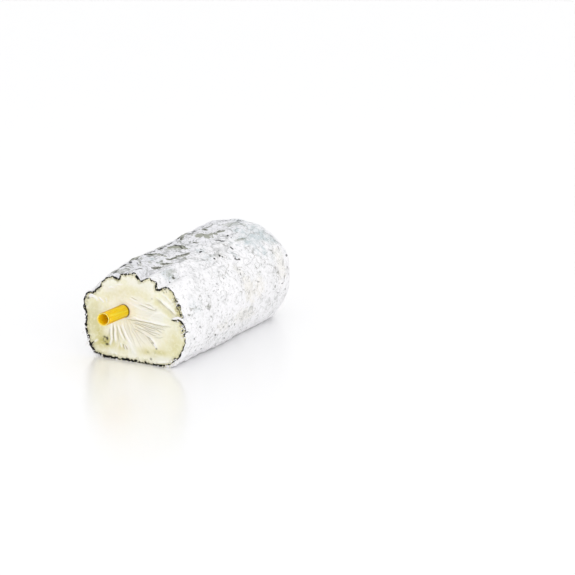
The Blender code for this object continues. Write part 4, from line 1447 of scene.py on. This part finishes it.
class CUTCHEESE_OT_straw(bpy.types.Operator):
    """Adds the hollow straw through the log"""

    bl_idname = "cut_cheese.add_straw"
    bl_label = "Straw"

    def execute(self, context):
        """Outside from the near mouth to the far one, and back inside, with rounded mouths.

        The radius has ribs as a cosine round the stalk and slow noise along it. The near mouth is
        cut at a slant, as a cosine round the stalk that fades along it.
        """
        settings = context.scene.straw
        near = CUT_Y - STRAW_OUT_OF_CUT
        length = END_Y + STRAW_OUT_OF_END - near
        mouth = np.array(STRAW_MOUTH) * MM
        middle = np.linspace(mouth[-1], length - mouth[-1], STRAW_ROWS)[1:-1]
        at_stain = STRAW_OUT_OF_CUT - np.linspace(*STRAW_STAIN_SPAN, STRAW_STAIN_ROWS) * MM
        collar = np.array(STRAW_COLLAR) * MM
        run = np.sort(np.concatenate([mouth, collar, middle, at_stain, length - mouth]))
        from_end = np.minimum(run, length - run)
        bevel = 0.5 * STRAW_WALL * (1 - np.sqrt(1 - (1 - np.clip(from_end / mouth[-1], 0, 1)) ** 2))
        outer = STRAW_RADIUS - bevel
        inner = STRAW_RADIUS - STRAW_WALL + bevel
        degrees = np.linspace(0, 360, STRAW_SIDES, endpoint=False)
        turn = np.radians(degrees)
        half = len(run)
        run = np.concatenate([run, run[::-1]])[:, None] + 0 * turn
        radius = np.concatenate([outer, inner[::-1]])[:, None] + 0 * turn
        sideways = np.cos(turn) + 0 * run
        upwards = np.sin(turn) + 0 * run
        stalk = [sideways * STRAW_NOISE_ROUND, run / STRAW_NOISE_SIZE, upwards * STRAW_NOISE_ROUND]
        stalk = np.stack(stalk, axis=-1)
        ribs = np.cos(turn * STRAW_RIBS + smooth_noise(stalk, STRAW_SEED) * STRAW_RIB_WANDER)
        radius += ribs * settings.rib_height
        radius += smooth_noise(stalk * STRAW_UNEVEN_PACE, STRAW_SEED + 1) * STRAW_UNEVEN
        slant = STRAW_SLANT * np.cos(turn - STRAW_SLANT_TURN) * np.exp(-run / STRAW_SLANT_FADE)
        y = near + run
        centre_x, centre_z = straw_line(y)
        rows = np.stack(
            [centre_x + radius * sideways, y + slant, centre_z + radius * upwards], axis=-1
        )
        inside = smooth_step(run, *STRAW_INSIDE)
        inside[:half] = 0
        at_cut = run - STRAW_OUT_OF_CUT + cut_relief(bore_ring(degrees, CUT_Y))
        # Where the straw enters the cut it darkens: partly stain and partly painted shade of the
        # crevice, darkest on one side.
        facing = smooth_step(np.cos(turn - STRAW_STAIN_TURN), *STRAW_STAIN_EDGE)
        stain_and_shade = bell(at_cut + STRAW_STAIN_PLACE, STRAW_STAIN_WIDTH)
        stain_and_shade = stain_and_shade * (STRAW_STAIN_LEAST + (1 - STRAW_STAIN_LEAST) * facing)
        ring = bell(run - STRAW_COLLAR_PLACE, STRAW_COLLAR_WIDTH) * STRAW_COLLAR_STRENGTH
        stain_and_shade = np.maximum(stain_and_shade, ring)
        patchy = 1 + smooth_noise(stalk, STRAW_SEED + 2)
        # Painted shade along the straw's top and bottom edges, patchy along its length.
        for streak in STRAW_EDGE_SHADES:
            stain_and_shade = np.maximum(stain_and_shade, bell_sum(degrees, (streak,)) * patchy)
        stain_and_shade[half:] = 0
        fields = {"inside": inside, "stain_and_shade": stain_and_shade, "pale": bell(run, STRAW_PALE_REACH)}
        mesh = closed_grid("straw_stalk", rows, fields)
        mesh.materials.append(dried_straw(settings))
        piece = place_piece("straw_stalk", mesh)
        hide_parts("straw")
        return {"FINISHED"}


class CUTCHEESE_OT_studio(bpy.types.Operator):
    """Adds the white table, the lights and the camera"""

    bl_idname = "cut_cheese.add_studio"
    bl_label = "Studio"

    def execute(self, context):
        """The camera looks from the photograph's side and height. The table fills its view."""
        settings = context.scene.studio
        scene = context.scene
        scene.view_settings.view_transform = "Standard"
        world = bpy.data.worlds.new("white_room")
        scene.world = world
        world.use_nodes = True
        background = world.node_tree.nodes["Background"]
        background.inputs["Color"].default_value = (1.0, 1.0, 1.0, 1.0)
        background.inputs["Strength"].default_value = settings.sky_strength
        corners = [(-1, -1, 0), (1, -1, 0), (1, 1, 0), (-1, 1, 0)]
        sheet = bpy.data.meshes.new("table_top")
        sheet.from_pydata(np.array(corners) * TABLE_HALF, [], [(0, 1, 2, 3)])
        sheet.materials.append(white_acrylic(settings))
        table_top = bpy.data.objects.new("table_top", sheet)
        scene.collection.objects.link(table_top)
        lamp = bpy.data.lights.new("softbox", "AREA")
        lamp.shape = "RECTANGLE"
        lamp.size = SOFTBOX_WIDTH
        lamp.size_y = SOFTBOX_HEIGHT
        lamp.energy = settings.key_power
        softbox = bpy.data.objects.new("softbox", lamp)
        softbox.location = SOFTBOX_PLACE
        softbox.rotation_euler = (-Vector(SOFTBOX_PLACE)).to_track_quat("-Z", "Y").to_euler()
        scene.collection.objects.link(softbox)
        level = math.cos(settings.elevation)
        back = Vector(
            (
                math.sin(settings.azimuth) * level,
                -math.cos(settings.azimuth) * level,
                math.sin(settings.elevation),
            )
        )
        right = Vector((math.cos(settings.azimuth), math.sin(settings.azimuth), 0.0))
        up = back.cross(right)
        lens = bpy.data.cameras.new("camera")
        lens.sensor_width = CAMERA_SENSOR
        lens.lens = CAMERA_LENS
        lens.clip_end = CAMERA_CLIP
        camera = bpy.data.objects.new("camera", lens)
        aim = right * AIM_RIGHT + up * AIM_UP + Vector((0.0, CUT_Y, 0.0))
        camera.location = aim + back * settings.distance
        camera.rotation_euler = (-back).to_track_quat("-Z", "Y").to_euler()
        scene.collection.objects.link(camera)
        scene.camera = camera
        return {"FINISHED"}


class CUTCHEESE_PT_parts(bpy.types.Panel):
    """Sidebar panel with the cheese's parts"""

    bl_label = "Cut Goat's Cheese Log"
    bl_idname = "CUTCHEESE_PT_parts"
    bl_space_type = "VIEW_3D"
    bl_region_type = "UI"
    bl_category = "Cheese"

    def draw(self, context):
        """A box for each piece, with its button and its settings."""
        for operator, group in PARTS:
            box = self.layout.box()
            box.operator(operator)
            settings = getattr(context.scene, group)
            for name in settings.__annotations__:
                box.prop(settings, name)


PARTS = (
    ("cut_cheese.add_log", "cheese_log"),
    ("cut_cheese.add_shreds", "cheese_log"),
    ("cut_cheese.add_straw", "straw"),
    ("cut_cheese.add_studio", "studio"),
)
GROUPS = {"cheese_log": CheeseLogSettings, "straw": StrawSettings, "studio": StudioSettings}
CLASSES = (
    *GROUPS.values(),
    CUTCHEESE_OT_log,
    CUTCHEESE_OT_shreds,
    CUTCHEESE_OT_straw,
    CUTCHEESE_OT_studio,
    CUTCHEESE_PT_parts,
)


def register():
    """Adds the classes, and their settings to the scene."""
    for kind in CLASSES:
        bpy.utils.register_class(kind)
    for name, group in GROUPS.items():
        setattr(bpy.types.Scene, name, PointerProperty(type=group))


def unregister():
    """Takes the settings and the classes away again."""
    for name in GROUPS:
        delattr(bpy.types.Scene, name)
    for kind in reversed(CLASSES):
        bpy.utils.unregister_class(kind)


def main():
    """Adds every piece."""
    register()
    bpy.ops.cut_cheese.add_log()
    bpy.ops.cut_cheese.add_shreds()
    bpy.ops.cut_cheese.add_straw()
    bpy.ops.cut_cheese.add_studio()


if __name__ == "__main__":
    main()
